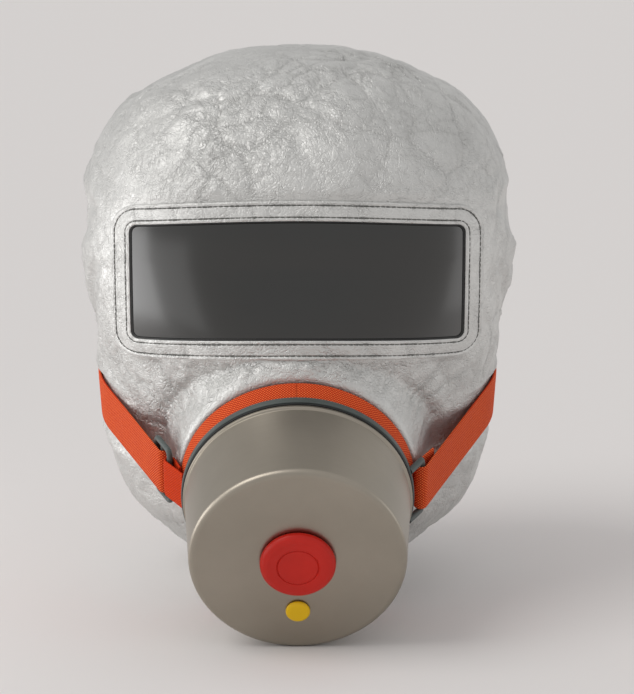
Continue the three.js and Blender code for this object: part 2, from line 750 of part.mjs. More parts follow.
function bucklePoint(along, out, w = 0) {
  return BUCKLE.clone()
    .addScaledVector(BUCKLE_ALONG, along)
    .addScaledVector(BUCKLE_OUT, out)
    .addScaledVector(DOWN, w);
}

function makeBuckle() {
  const bars = [0, 1, 2].map((i) => {
    const ends = [-FRAME_HALF, FRAME_HALF].map((w) => bucklePoint(i * BAR_PITCH, 0, w));
    return solidOf(rod(...ends, BAR));
  });
  const [near, far] = [-1.9, 2 * BAR_PITCH + 1.9];
  const rails = [-1, 1].map((side) =>
    loft(
      [FRAME_HALF - 1.1, FRAME_HALF + 1.3].map((w) =>
        [[near, -1.5], [far, -1.5], [far, 1.5], [near, 1.5]].map(([along, out]) => bucklePoint(along, out, side * w)),
      ),
      false,
    ),
  );
  const buckle = [...bars, ...rails.map(solidOf)].reduce((sum, part) => sum.add(part));
  addPiece("strap_buckle", geometryOf(buckle), MATERIALS.greyPlastic);
}

// The tab: sewn to the collar band and folded round the buckle's first bar.
function makeTab() {
  const [outer, inner] = [-7.4, -13.5].map((s) =>
    canisterPoint(-(collarRadius(s) + GAP + WEBBING + GAP + WEBBING / 2), s, 0),
  );
  const line = [outer, ...bend(BUCKLE, BUCKLE_OUT, BUCKLE_ALONG, BEND), inner];
  addPiece("buckle_tab", strip(...edges(line, DOWN, TAB_WIDTH)), MATERIALS.webbing);
}

// ---- Head strap ----
const STRAP_HEIGHT = 77; // height of the strap's plane at its front end
const STRAP_FRONT = -76; // depth of that end
const STRAP_LIFT = 0.9 + WEBBING / 2; // webbing's middle above the fabric
const CHEEK = 0.7; // the strap's plane is followed from this angle at one cheek to the other

// The line where the strap's plane, raised by lift, cuts the hood, from the -X cheek round the back.
function hoodSlice(lift) {
  const count = 72;
  return Array.from({ length: count + 1 }, (_, i) => {
    const angle = -CHEEK - ((2 * Math.PI - 2 * CHEEK) * i) / count;
    let level = STRAP_HEIGHT / CROWN_START;
    for (let pass = 0; pass < 12; pass++) {
      const height = STRAP_HEIGHT + lift + STRAP_SLOPE * (hoodPoint(level, angle).y - STRAP_FRONT);
      level = height / CROWN_START;
    }
    return hoodPoint(level, angle).addScaledVector(hoodNormal(level, angle), STRAP_LIFT);
  });
}

// Index of the point where a taut strap from one of its ends first touches the hood.
function touch(slice, end) {
  const side = Math.sign(end.x);
  const bearings = slice.map((point) => {
    const outside = Math.sign(point.x) !== side || point.y > 10;
    return outside ? -Infinity : Math.atan2(side * (point.x - end.x), point.y - end.y);
  });
  return bearings.indexOf(Math.max(...bearings));
}

// One edge of the strap, taut from one end over the hood to the other.
function tautLine(start, end, lift) {
  const slice = hoodSlice(lift);
  const [first, last] = [touch(slice, start), touch(slice, end)];
  const count = 50;
  const onHood = Array.from({ length: count + 1 }, (_, i) => {
    const place = first + ((last - first) * i) / count;
    const index = Math.min(Math.floor(place), last - 1);
    return slice[index].clone().lerp(slice[index + 1], place - index);
  });
  return [start, ...between(start, onHood[0], 5), ...onHood, ...between(onHood[count], end, 5), end];
}

function makeStrap() {
  const middleBar = bucklePoint(BAR_PITCH, 0);
  const fold = bend(middleBar, BUCKLE_OUT.clone().negate(), BUCKLE_ALONG.clone().negate(), BEND);
  const tail = fold[0].clone().addScaledVector(BUCKLE_ALONG, 8);
  const joint = fold[4].clone().addScaledVector(BUCKLE_ALONG, BAR_PITCH + 3);
  const threaded = [tail, ...fold, joint];
  addPiece("strap_end", strip(...edges(threaded, DOWN, STRAP_WIDTH)), MATERIALS.webbing);

  const start = joint.clone().addScaledVector(BUCKLE_ALONG, GAP);
  const bar = canisterPoint(LOOP_X, LOOP_S, 0);
  const radius = BEND + 0.4;
  const away = new THREE.Vector3(Math.sin(LOOP_TURN), 0, 0).addScaledVector(FORWARD, -Math.cos(LOOP_TURN));
  const out = new THREE.Vector3().crossVectors(DOWN, away);
  const wrap = bend(bar, out, away.clone().negate(), radius);
  const sewn = wrap[4].clone().addScaledVector(away, 15);
  const half = STRAP_WIDTH / 2;
  const [lower, upper] = [1, -1].map((side) => {
    const moved = (point) => point.clone().addScaledVector(DOWN, side * half);
    return [...tautLine(moved(start), moved(wrap[0]), -side * half), ...wrap.slice(1).map(moved), moved(sewn)];
  });
  addPiece("head_strap", strip(lower, upper), MATERIALS.webbing);
}

makeHood();
makeNeck();
makeCan();
makeFilter();
makePlugs();
makeCollar();
makeHalfMask();
makeValve(-1, "right");
makeValve(1, "left");
makeBuckle();
makeTab();
makeStrap();

export default model;
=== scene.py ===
"""Looks of the smoke hood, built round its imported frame: wrinkled aluminised fabric, a sewn-in visor,
a brushed canister on a clamped collar, orange webbing, and the half mask inside.
Lengths in this file are millimetres until a mesh is made, in the frame's own axes."""

import itertools
import math

import bpy
import numpy as np
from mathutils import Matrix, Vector, noise


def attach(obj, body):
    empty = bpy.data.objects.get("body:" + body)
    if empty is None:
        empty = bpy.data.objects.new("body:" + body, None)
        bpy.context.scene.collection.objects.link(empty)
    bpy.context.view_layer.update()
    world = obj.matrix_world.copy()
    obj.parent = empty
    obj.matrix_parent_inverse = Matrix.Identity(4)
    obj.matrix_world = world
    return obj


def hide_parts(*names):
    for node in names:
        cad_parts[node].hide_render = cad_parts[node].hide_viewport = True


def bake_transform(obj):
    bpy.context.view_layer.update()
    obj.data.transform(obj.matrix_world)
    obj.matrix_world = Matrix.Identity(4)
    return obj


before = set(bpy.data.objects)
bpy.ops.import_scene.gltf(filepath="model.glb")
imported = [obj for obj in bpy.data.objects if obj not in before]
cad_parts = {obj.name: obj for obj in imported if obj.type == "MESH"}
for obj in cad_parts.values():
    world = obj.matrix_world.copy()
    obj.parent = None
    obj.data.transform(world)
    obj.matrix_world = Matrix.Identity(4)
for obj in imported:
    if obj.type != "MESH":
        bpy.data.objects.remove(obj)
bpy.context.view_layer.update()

# ---- Sizes shared with the frame ----
MM = 0.001
GAP = 0.3
DEPTH_SHIFT = 28.75
HOOD_HEIGHT = 278
CROWN_START = 180
CROWN_POWER = 2.4
FABRIC = 1.2
HEM_HEIGHT = 12.7
VISOR_HALF_WIDTH = 81
VISOR_BOTTOM = 146.5
VISOR_TOP = 202
VISOR_DROOP = 5.5
VISOR_CORNER = 3
FRAME_MARGIN = 10.5
FRAME_CORNER = 13
PORT_PLANE = -18
PORT_RADIUS = 45.2
BOSS_INNER = 58
BOSS_OUTER = 68
CANISTER_TILT = math.radians(22)
CANISTER_LENGTH = 50
REAR_RADIUS = 56
FRONT_RADIUS = 52
COLLAR_FRONT = -5.6
COLLAR_RADIUS = 53
COLLAR_FLARE = 0.26
OUTLET_RADIUS = 17.5
OUTLET_END = -34
INLET_RADIUS = 11
TEST_PORT_OFFSET = 28.6
TEST_PORT_RADIUS = 3.3
VALVE_S = -62
VALVE_W = 4
WEBBING = 1.4
STRAP_WIDTH = 25
TAB_WIDTH = 21
STRAP_HEIGHT = 77
STRAP_FRONT = -76
STRAP_SLOPE = 0.28
BAR = 1.3
BAR_PITCH = 7.5
BEND = BAR + 0.4 + WEBBING / 2
BUCKLE_TURN = math.radians(27)
LOOP_TURN = math.radians(35)
LOOP_X = 60.5
LOOP_S = -13
LOOP_HALF = STRAP_WIDTH / 2 + 1.6

# Height, half width, front, widest depth, back and front power of the hood's cross-sections.
SECTIONS = np.array(
    [
        [0, 54, -44, 8, 60, 2.0],
        [14, 55, -46, 8, 62, 2.0],
        [26, 67, -58, 8, 73, 1.9],
        [46, 88, -77, 5, 90, 1.75],
        [78, 98.7, -90.5, 3, 103, 1.6],
        [110, 101.5, -103, 3, 107, 1.65],
        [140, 107, -108, 3, 110, 2.0],
        [CROWN_START, 110.5, -104, 3, 112, 2.3],
    ]
)

FORWARD = np.array([0, -math.cos(CANISTER_TILT), -math.sin(CANISTER_TILT)])
DOWN = np.array([0, math.sin(CANISTER_TILT), -math.cos(CANISTER_TILT)])
REAR_CENTRE = np.array([0, -105 + DEPTH_SHIFT, 65.95])


def canister_point(x, s, w):
    return np.array([x, 0, 0]) + FORWARD * s + DOWN * w + REAR_CENTRE


def smoothstep(x, low, high):
    t = np.clip((x - low) / (high - low), 0, 1)
    return t * t * (3 - 2 * t)


def spline(a, b, c, d, t):
    """The point at share t of the way from b to c, on a smooth curve through all four."""
    return 0.5 * (2 * b + (c - a) * t + (2 * a - 5 * b + 4 * c - d) * t**2 + (3 * b - a - 3 * c + d) * t**3)


# ---- Meshes ----
# The canister's axes and origin: local z runs along it.
CANISTER = (np.array([1, 0, 0]), -DOWN, FORWARD, REAR_CENTRE)


def make_object(name, points, faces, material, body="root", place=None, sharp=None, node=None, slot=None):
    """A piece that rides on body, from points in millimetres along the axes of place.

    Edges sharper than sharp degrees stay hard. The piece stands for the frame's node; slot is not used.
    """
    points = np.asarray(points, float)
    turned = points
    if place:
        points = turned @ np.array(place[:3]) + place[3]
    mesh = bpy.data.meshes.new(name)
    mesh.from_pydata((points * MM).tolist(), [], faces)
    mesh.polygons.foreach_set("use_smooth", [True] * len(mesh.polygons))
    if sharp:
        mesh.set_sharp_from_angle(angle=math.radians(sharp))
    mesh.materials.append(material)
    obj = bpy.data.objects.new(name, mesh)
    bpy.context.scene.collection.objects.link(obj)
    if place:
        add_vectors(obj, "turned", turned * MM)
        add_vectors(obj, "around", np.cross(place[2], points - place[3]) * MM)
    if body:
        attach(obj, body)
    if node:
        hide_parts(node)
    return obj


def add_vectors(obj, name, values):
    attribute = obj.data.attributes.new(name, "FLOAT_VECTOR", "POINT")
    attribute.data.foreach_set("vector", np.asarray(values, np.float32).ravel())


def grid_faces(rows, columns, closed_rows=False, closed_columns=False):
    faces = []
    for i in range(rows if closed_rows else rows - 1):
        for j in range(columns if closed_columns else columns - 1):
            k, m = (i + 1) % rows, (j + 1) % columns
            faces.append((i * columns + j, i * columns + m, k * columns + m, k * columns + j))
    return faces


def joined(parts):
    """Points and faces of several meshes put together."""
    points, faces, start = [], [], 0
    for part_points, part_faces in parts:
        points.append(np.asarray(part_points, float))
        faces += [tuple(i + start for i in face) for face in part_faces]
        start += len(part_points)
    return np.concatenate(points), faces


def rounded(outline, radius, closed, steps=4):
    """The outline with its corners rounded; an open outline keeps its two ends."""
    outline = [np.array(p, float) for p in outline]
    count = len(outline)
    result = []
    for i, corner in enumerate(outline):
        if not closed and i in (0, count - 1):
            result.append(corner)
            continue
        before, after = outline[i - 1], outline[(i + 1) % count]
        reach_a, reach_b = np.linalg.norm(before - corner), np.linalg.norm(after - corner)
        cut = min(radius, 0.48 * reach_a, 0.48 * reach_b)
        start = corner + (before - corner) * cut / reach_a
        end = corner + (after - corner) * cut / reach_b
        for k in range(steps + 1):
            t = k / steps
            result.append((1 - t) ** 2 * start + 2 * (1 - t) * t * corner + t * t * end)
    return result


def lathe(outline, radius=0.4, segments=128, ring=True):
    """Points and faces of a turned body round local z, from an outline of (radius, z)."""
    outline = rounded(outline, radius, ring)
    angles = np.arange(segments) * 2 * math.pi / segments
    if ring:
        r, z = np.array(outline).T
    else:
        r, z = np.array(outline[1:-1]).T
    x = np.outer(r, np.sin(angles))
    y = -np.outer(r, np.cos(angles))
    points = np.stack([x, y, np.repeat(z[:, None], segments, 1)], -1).reshape(-1, 3)
    faces = grid_faces(len(r), segments, closed_rows=ring, closed_columns=True)
    if ring:
        return points, faces
    base = (len(r) - 1) * segments
    bottom, top = len(points), len(points) + 1
    points = np.vstack([points, [0, 0, outline[0][1]], [0, 0, outline[-1][1]]])
    for j in range(segments):
        k = (j + 1) % segments
        faces.append((bottom, k, j))
        faces.append((top, base + j, base + k))
    return points, faces


def tube(path, radii, segments=16, closed=False):
    """Points and faces of a tube of elliptical section along a path; radii are (across, outwards)."""
    path = np.asarray(path, float)
    count = len(path)
    ahead = np.roll(path, -1, 0) - np.roll(path, 1, 0)
    if not closed:
        ahead[0], ahead[-1] = path[1] - path[0], path[-1] - path[-2]
    ahead /= np.linalg.norm(ahead, axis=1)[:, None]
    side = np.cross(ahead[0], [0.31, 0.57, 0.76])
    points = []
    for direction, centre in zip(ahead, path):
        side = side - direction * side.dot(direction)
        side /= np.linalg.norm(side)
        up = np.cross(direction, side)
        for j in range(segments):
            angle = 2 * math.pi * j / segments
            points.append(centre + side * radii[0] * math.cos(angle) + up * radii[1] * math.sin(angle))
    faces = grid_faces(count, segments, closed_rows=closed, closed_columns=True)
    if not closed:
        faces.append(tuple(reversed(range(segments))))
        faces.append(tuple(range((count - 1) * segments, count * segments)))
    return np.array(points), faces


def smooth_path(points, step=1.0):
    """A smooth line through the given points, or several side by side, with points about step apart."""
    points = np.asarray(points, float)
    padded = np.concatenate([[2 * points[0] - points[1]], points, [2 * points[-1] - points[-2]]])
    result = []
    for a, b, c, d in zip(padded, padded[1:], padded[2:], padded[3:]):
        count = max(1, int(np.linalg.norm(c - b, axis=-1).max() / step))
        for t in np.arange(count) / count:
            result.append(spline(a, b, c, d, t))
    return np.array(result + [points[-1]])


# ---- Materials ----
class Graph:
    """A material whose nodes are added by short calls; an input is a socket to link or a value to set."""

    def __init__(self, name, color, roughness, metallic=0.0, **constants):
        self.material = bpy.data.materials.new(name)
        self.material.use_nodes = True
        self.tree = self.material.node_tree
        self.shader = self.tree.nodes["Principled BSDF"]
        self.set(self.shader, {"Base Color": (*color, 1), "Roughness": roughness, "Metallic": metallic})
        self.set(self.shader, {key.replace("_", " "): value for key, value in constants.items()})
        self.place = self.node("ShaderNodeTexCoord").outputs["Object"]

    def set(self, node, inputs):
        for key, value in inputs.items():
            if isinstance(value, bpy.types.NodeSocket):
                self.tree.links.new(value, node.inputs[key])
            else:
                node.inputs[key].default_value = value

    def node(self, kind, inputs=None, **properties):
        node = self.tree.nodes.new(kind)
        for key, value in properties.items():
            setattr(node, key, value)
        self.set(node, inputs or {})
        return node

    def math(self, operation, a, b=0.0):
        return self.node("ShaderNodeMath", {0: a, 1: b}, operation=operation).outputs[0]

    def times(self, a, b):
        return self.math("MULTIPLY", a, b)

    def plus(self, a, b):
        return self.math("ADD", a, b)

    def scaled(self, vector, scale):
        return self.node("ShaderNodeVectorMath", {0: vector, 1: scale}, operation="MULTIPLY").outputs[0]

    def noise(self, vector, scale, detail=3.0, roughness=0.55, kind="FBM"):
        inputs = {"Vector": vector, "Scale": scale, "Detail": detail, "Roughness": roughness}
        return self.node("ShaderNodeTexNoise", inputs, noise_type=kind, normalize=True).outputs["Fac"]

    def ramp(self, factor, stops):
        node = self.node("ShaderNodeValToRGB", {"Fac": factor})
        elements = node.color_ramp.elements
        while len(elements) < len(stops):
            elements.new(0.5)
        for element, (position, color) in zip(elements, stops):
            element.position = position
            element.color = (*color, 1)
        return node.outputs["Color"]

    def range(self, factor, low, high):
        node = self.node("ShaderNodeMapRange", {"Value": factor, "To Min": low, "To Max": high})
        return node.outputs["Result"]

    def bump(self, height, distance, strength=1.0, before=None):
        """distance is in millimetres."""
        inputs = {"Height": height, "Distance": distance * MM, "Strength": strength}
        if before:
            inputs["Normal"] = before
        return self.node("ShaderNodeBump", inputs).outputs["Normal"]

    def finish(self, **inputs):
        self.set(self.shader, {key.replace("_", " "): value for key, value in inputs.items()})
        return self.material


def linear(red, green, blue):
    """A display colour, 0 to 255, as the renderer's linear one."""
    shares = (red / 255, green / 255, blue / 255)
    return tuple(((c + 0.055) / 1.055) ** 2.4 if c > 10 / 255 else c / 12.92 for c in shares)


def fabric_material():
    """Aluminised cloth: a satin film with a fine crinkled grain, coarser along its creases, where painted
    shade darkens the crinkle lines and the creases.
    """
    g = Graph("aluminised_fabric", linear(214, 214, 212), 0.55, 0.8)
    marks = g.node("ShaderNodeAttribute", attribute_name="crease").outputs["Vector"]
    line, zone, _ = g.node("ShaderNodeSeparateXYZ", {"Vector": marks}).outputs
    warp = g.node("ShaderNodeTexNoise", {"Vector": g.place, "Scale": 130.0, "Detail": 3.0}).outputs["Color"]
    warp = g.scaled(warp, (0.009, 0.009, 0.009))
    bent = g.node("ShaderNodeVectorMath", {0: warp, 1: g.place}, operation="ADD").outputs[0]
    crackle = []
    for scale in (240.0, 520.0):
        cells = g.node("ShaderNodeTexVoronoi", {"Vector": bent, "Scale": scale}, feature="DISTANCE_TO_EDGE")
        crackle.append(g.math("MINIMUM", g.times(cells.outputs["Distance"], 6.0), 1.0))
    grain = g.noise(g.scaled(bent, (1.0, 1.0, 1.7)), 650.0, 4.0, 0.65)
    patches = g.noise(g.place, 18.0, 3.0)
    strength = g.plus(g.times(zone, 0.75), g.range(patches, 0.0, 0.5))
    cracks = g.math("SUBTRACT", 1.0, g.math("MINIMUM", *crackle))
    tone = g.ramp(patches, [(0.3, linear(204, 204, 202)), (0.7, linear(222, 222, 220))])
    # painted shade: the crinkle lines are darkened, more so near the creases and in random patches
    stain_and_crinkle_shade = g.times(g.times(cracks, strength), 0.04)
    # painted shade along the crease lines and the crinkled zones beside them, mixed towards the dark colour
    # below
    crease_shade = g.plus(g.times(line, 0.12), g.times(zone, 0.05))
    darker = g.math("MINIMUM", g.plus(stain_and_crinkle_shade, crease_shade), 1.0)
    dark = (*linear(108, 108, 105), 1)
    color = g.node("ShaderNodeMix", {0: darker, 6: tone, 7: dark}, data_type="RGBA").outputs[2]
    rough = g.plus(g.range(patches, 0.42, 0.5), g.range(grain, -0.1, 0.1))
    height = g.times(g.plus(*crackle), strength)
    normal = g.bump(height, 0.3, 0.9)
    normal = g.bump(grain, 0.34, 0.9, normal)
    return g.finish(Base_Color=color, Roughness=rough, Normal=normal)


def lining_material():
    g = Graph("cotton_lining", linear(222, 219, 208), 0.9, Sheen_Weight=0.2)
    x, y, z = g.node("ShaderNodeSeparateXYZ", {"Vector": g.place}).outputs[:3]
    weave = g.times(g.math("SINE", g.times(g.plus(x, y), 7000.0)),
                   g.math("SINE", g.times(z, 9000.0)))
    stain_and_crinkle_shade = g.noise(g.place, 30.0, 4.0)
    color = g.ramp(stain_and_crinkle_shade, [(0.35, linear(206, 203, 192)), (0.7, linear(230, 227, 217))])
    return g.finish(Base_Color=color, Normal=g.bump(weave, 0.08, 0.5))


def webbing_material(name, base, dark):
    """Woven polyester: ribs along the strap and finer picks across it."""
    g = Graph(name, linear(*base), 0.85, Specular_IOR_Level=0.15)
    weave = g.node("ShaderNodeAttribute", attribute_name="weave").outputs["Vector"]
    along, across, _ = g.node("ShaderNodeSeparateXYZ", {"Vector": weave}).outputs
    ribs = g.math("SINE", g.times(across, 2 * math.pi / 1.5))
    picks = g.math("SINE", g.times(along, 2 * math.pi / 1.4))
    pattern = g.times(ribs, picks)
    height = g.plus(g.times(pattern, 0.5), g.times(ribs, 0.35))
    shade = g.range(pattern, 0.1, 0.95)
    wear = g.noise(g.place, 60.0, 4.0)
    mixed = g.times(shade, g.range(wear, 0.75, 1.15))
    color = g.ramp(mixed, [(0.32, linear(*dark)), (0.55, linear(*base))])
    normal = g.bump(height, 0.22, 0.7)
    normal = g.bump(g.noise(g.place, 1500.0, 2.0), 0.05, 0.5, normal)
    return g.finish(Base_Color=color, Normal=normal, Roughness=g.range(wear, 0.66, 0.85))


def steel_material():
    """Satin steel: faint lines run round the can's wall and in circles on its face."""
    g = Graph("satin_steel", linear(164, 156, 144), 0.38, 1.0, Anisotropic=0.5)
    turned = g.node("ShaderNodeAttribute", attribute_name="turned").outputs["Vector"]
    x, y, z = g.node("ShaderNodeSeparateXYZ", {"Vector": turned}).outputs[:3]
    radius = g.math("SQRT", g.plus(g.times(x, x), g.times(y, y)))
    lines = g.node("ShaderNodeCombineXYZ", {"X": radius, "Y": z}).outputs[0]
    fine = g.noise(lines, 3800.0, 2.0, 0.7)
    clouds = g.noise(turned, 26.0, 4.0)
    grain = g.noise(turned, 1500.0, 2.0)
    tone = g.plus(g.times(fine, 0.3), g.times(clouds, 0.7))
    color = g.ramp(tone, [(0.3, linear(158, 151, 139)), (0.7, linear(170, 162, 150))])
    rough = g.plus(g.range(clouds, 0.33, 0.41), g.range(grain, -0.03, 0.03))
    around = g.node("ShaderNodeAttribute", attribute_name="around").outputs["Vector"]
    normal = g.bump(grain, 0.012, 0.5, g.bump(fine, 0.002, 0.4))
    return g.finish(Base_Color=color, Roughness=rough, Normal=normal, Tangent=around)


def rolled_steel_material():
    g = Graph("rolled_steel", linear(176, 176, 174), 0.34, 1.0)
    streaks = g.noise(g.scaled(g.place, (1.0, 6.0, 1.0)), 120.0, 4.0)
    color = g.ramp(streaks, [(0.3, linear(158, 158, 156)), (0.7, linear(190, 190, 188))])
    rough = g.range(streaks, 0.26, 0.42)
    return g.finish(Base_Color=color, Roughness=rough, Normal=g.bump(streaks, 0.02, 0.4))


def moulded_material(name, color, roughness, grain=0.03, spread=0.1, **constants):
    """A moulded surface with a fine texture and slightly uneven colour."""
    g = Graph(name, linear(*color), roughness, **constants)
    texture = g.noise(g.place, 1300.0, 3.0)
    cloud = g.noise(g.place, 38.0, 4.0)
    low = tuple(c * (1 - spread) for c in color)
    high = tuple(min(255, c * (1 + spread)) for c in color)
    tone = g.ramp(cloud, [(0.3, linear(*low)), (0.7, linear(*high))])
    return g.finish(
        Base_Color=tone,
        Roughness=g.range(cloud, roughness - 0.06, roughness + 0.07),
        Normal=g.bump(texture, grain, 0.6),
    )


def visor_material():
    gloss = {"Coat_Weight": 1.0, "Coat_Roughness": 0.2, "IOR": 1.5, "Specular_IOR_Level": 0.4}
    g = Graph("visor_film", linear(18, 19, 16), 0.25, **gloss)
    haze = g.noise(g.scaled(g.place, (1.0, 1.0, 2.2)), 22.0, 4.0)
    tone = g.ramp(haze, [(0.3, linear(14, 15, 12)), (0.75, linear(19, 20, 17))])
    ripple = g.noise(g.place, 9.0, 1.0)
    return g.finish(Base_Color=tone, Roughness=g.range(haze, 0.25, 0.32), Normal=g.bump(ripple, 0.5, 0.15))


def fibre_material(name, color):
    g = Graph(name, linear(*color), 0.95)
    fibres = g.noise(g.scaled(g.place, (1.0, 3.0, 1.0)), 700.0, 5.0, kind="RIDGED_MULTIFRACTAL")
    tone = g.ramp(fibres, [(0.2, linear(*(c * 0.82 for c in color))), (0.8, linear(*color))])
    return g.finish(Base_Color=tone, Normal=g.bump(fibres, 0.2, 0.6))


def carbon_material():
    g = Graph("carbon_granules", linear(24, 24, 24), 0.8)
    cells = g.node("ShaderNodeTexVoronoi", {"Vector": g.place, "Scale": 900.0})
    tone = g.ramp(cells.outputs["Distance"], [(0.1, linear(46, 46, 46)), (0.7, linear(12, 12, 12))])
    return g.finish(Base_Color=tone, Normal=g.bump(cells.outputs["Distance"], 0.6, 0.8))


FABRIC_LOOK = fabric_material()
LINING = lining_material()
STRAP_LOOK = webbing_material("orange_webbing", (255, 134, 74), (190, 52, 16))
TAB_LOOK = webbing_material("light_orange_webbing", (230, 74, 20), (190, 50, 12))
STEEL = steel_material()
ROLLED = rolled_steel_material()
GREY = moulded_material("grey_moulding", (72, 80, 78), 0.45, Coat_Weight=0.15, Coat_Roughness=0.3)
BLACK = moulded_material("black_rubber", (26, 27, 27), 0.55)
RED = moulded_material("red_rubber", (196, 26, 10), 0.36, 0.015, 0.05, Specular_IOR_Level=0.36)
YELLOW = moulded_material("yellow_plastic", (236, 190, 2), 0.35, 0.01, 0.04, Specular_IOR_Level=0.35)
SILICONE = moulded_material("dark_silicone", (58, 61, 64), 0.5, 0.02, 0.08, Sheen_Weight=0.1)
MILKY = moulded_material("milky_silicone", (216, 218, 213), 0.4, 0.01, 0.04, Subsurface_Weight=0.1)
THREAD = moulded_material("grey_thread", (96, 96, 93), 0.75, 0.05)
ELASTIC = fibre_material("elastic_band", (228, 226, 218))
FILTER = fibre_material("filter_fibre", (232, 228, 216))
CARBON = carbon_material()


# ---- Hood surface ----
def section_at(z):
    table = SECTIONS
    i = np.searchsorted(table[1:-1, 0], z, side="left")
    last = len(table) - 1
    a, b = table[i], table[i + 1]
    before, after = table[np.maximum(0, i - 1)], table[np.minimum(last, i + 2)]
    span = (b[..., 0] - a[..., 0])[..., None]
    t = ((z - a[..., 0]) / span[..., 0])[..., None]
    slope_a = (b - before) / (b[..., :1] - before[..., :1]) * span
    slope_b = (after - a) / (after[..., :1] - a[..., :1]) * span
    value = a * (2 * t**3 - 3 * t**2 + 1) + slope_a * (t**3 - 2 * t**2 + t)
    value += b * (3 * t**2 - 2 * t**3) + slope_b * (t**3 - t**2)
    return np.moveaxis(value[..., 1:], -1, 0)


def crown(level):
    """Height and closing factor at a level: 0 at the hem, 1 where the crown starts, 2 at the top."""
    turn = np.maximum(0, level - 1) * math.pi / 2
    closing = np.maximum(np.cos(turn), 0) ** (2 / CROWN_POWER)
    rise = (HOOD_HEIGHT - CROWN_START) * np.sin(turn) ** (2 / CROWN_POWER)
    return np.minimum(level, 1) * CROWN_START + rise, closing


def canister_radius(points):
    offset = points - REAR_CENTRE
    return np.hypot(points[..., 0], offset @ DOWN), offset @ FORWARD


def hood_points(level, angle):
    """The hood's outer surface, in the frame's axes; angle 0 is the front and grows towards +X."""
    level, angle = np.broadcast_arrays(np.asarray(level, float), np.asarray(angle, float))
    z, closing = crown(level)
    half, front, side, back, power = section_at(np.minimum(z, CROWN_START))
    sin, cos = np.sin(angle), np.cos(angle)
    exponent = np.where(cos > 0, 2 / power, 1)
    reach = np.where(cos > 0, side - front, back - side) * closing
    x = half * closing * np.sign(sin) * np.abs(sin) ** exponent
    y = side - reach * np.sign(cos) * np.abs(cos) ** exponent
    points = np.stack([x, y + DEPTH_SHIFT, z], -1)
    radius, along = canister_radius(points)
    pull = (1 - smoothstep(radius, BOSS_INNER, BOSS_OUTER)) * smoothstep(cos, 0, 0.35)
    pull *= smoothstep(z, HEM_HEIGHT, 22)
    return points + FORWARD * ((PORT_PLANE - along) * pull)[..., None]


def hood_normals(level, angle):
    step = 0.01
    high = np.minimum(level, 2 - 2 * step)
    up = hood_points(high + step, angle) - hood_points(np.maximum(0, high - step), angle)
    turn = hood_points(high, angle + step) - hood_points(high, angle - step)
    normal = np.cross(turn, up)
    return normal / np.linalg.norm(normal, axis=-1)[..., None]


def front_place(x, z):
    """Level and angle of the front surface's point at x and z."""
    low, high = np.zeros_like(z), np.full_like(z, 2.0)
    for _ in range(40):
        middle = (low + high) / 2
        above = crown(middle)[0] > z
        low, high = np.where(above, low, middle), np.where(above, middle, high)
    level = (low + high) / 2
    closing = crown(level)[1]
    half, _, _, _, power = section_at(np.minimum(z, CROWN_START))
    sine = np.minimum(np.abs(x) / (half * closing), 0.9999) ** (power / 2)
    return level, np.sign(x) * np.arcsin(sine)


def on_front(x, z, offset):
    level, angle = front_place(x, z)
    return hood_points(level, angle) + hood_normals(level, angle) * np.asarray(offset)[..., None]


def droop(x):
    return VISOR_DROOP * (x / VISOR_HALF_WIDTH) ** 2


def rectangle_distance(x, z, grow, corner):
    """Signed distance outside the visor's drooping rounded rectangle grown by grow."""
    half_x = VISOR_HALF_WIDTH + grow - corner
    middle = (VISOR_BOTTOM + VISOR_TOP) / 2
    half_z = (VISOR_TOP - VISOR_BOTTOM) / 2 + grow - corner
    dx, dz = np.abs(x) - half_x, np.abs(z + droop(x) - middle) - half_z
    outside = np.hypot(np.maximum(dx, 0), np.maximum(dz, 0))
    return outside + np.minimum(np.maximum(dx, dz), 0) - corner


def strap_distance(points):
    """Distance across the strap from its middle line, for points on the hood."""
    depth = points[..., 1] - DEPTH_SHIFT - STRAP_FRONT
    return (points[..., 2] - STRAP_HEIGHT - STRAP_SLOPE * depth) / math.hypot(1, STRAP_SLOPE)


# ---- Fabric shape ----
SIM_ROWS, SIM_COLUMNS = 92, 160
SIM_FRAMES = 24


def hood_levels(lower, upper):
    start = (HEM_HEIGHT + GAP) / CROWN_START
    return np.concatenate([np.linspace(start, 1, lower), 1 + np.arange(1, upper) / upper])


def held(points):
    """How firmly each point of the fabric is held in its cut shape: 1 at seams, less where it is free."""
    front = points[..., 1] < DEPTH_SHIFT
    radius, _ = canister_radius(points)
    frame_edge = rectangle_distance(points[..., 0], points[..., 2], FRAME_MARGIN, FRAME_CORNER)
    seams = [
        np.where(front, 1 - smoothstep(radius, 57, 66), 0),
        np.where(front, 1 - smoothstep(frame_edge, -1, 5), 0),
        1 - smoothstep(points[..., 2], 14, 22),
    ]
    return np.maximum.reduce(seams)


def blurred(field, reach):
    """A field on a grid that closes round its columns, averaged over reach points either way."""
    rows = np.arange(len(field))
    steps = range(-reach, reach + 1)
    across = sum(np.roll(field, step, 1) for step in steps)
    return sum(across[np.clip(rows + step, 0, len(field) - 1)] for step in steps) / len(steps) ** 2


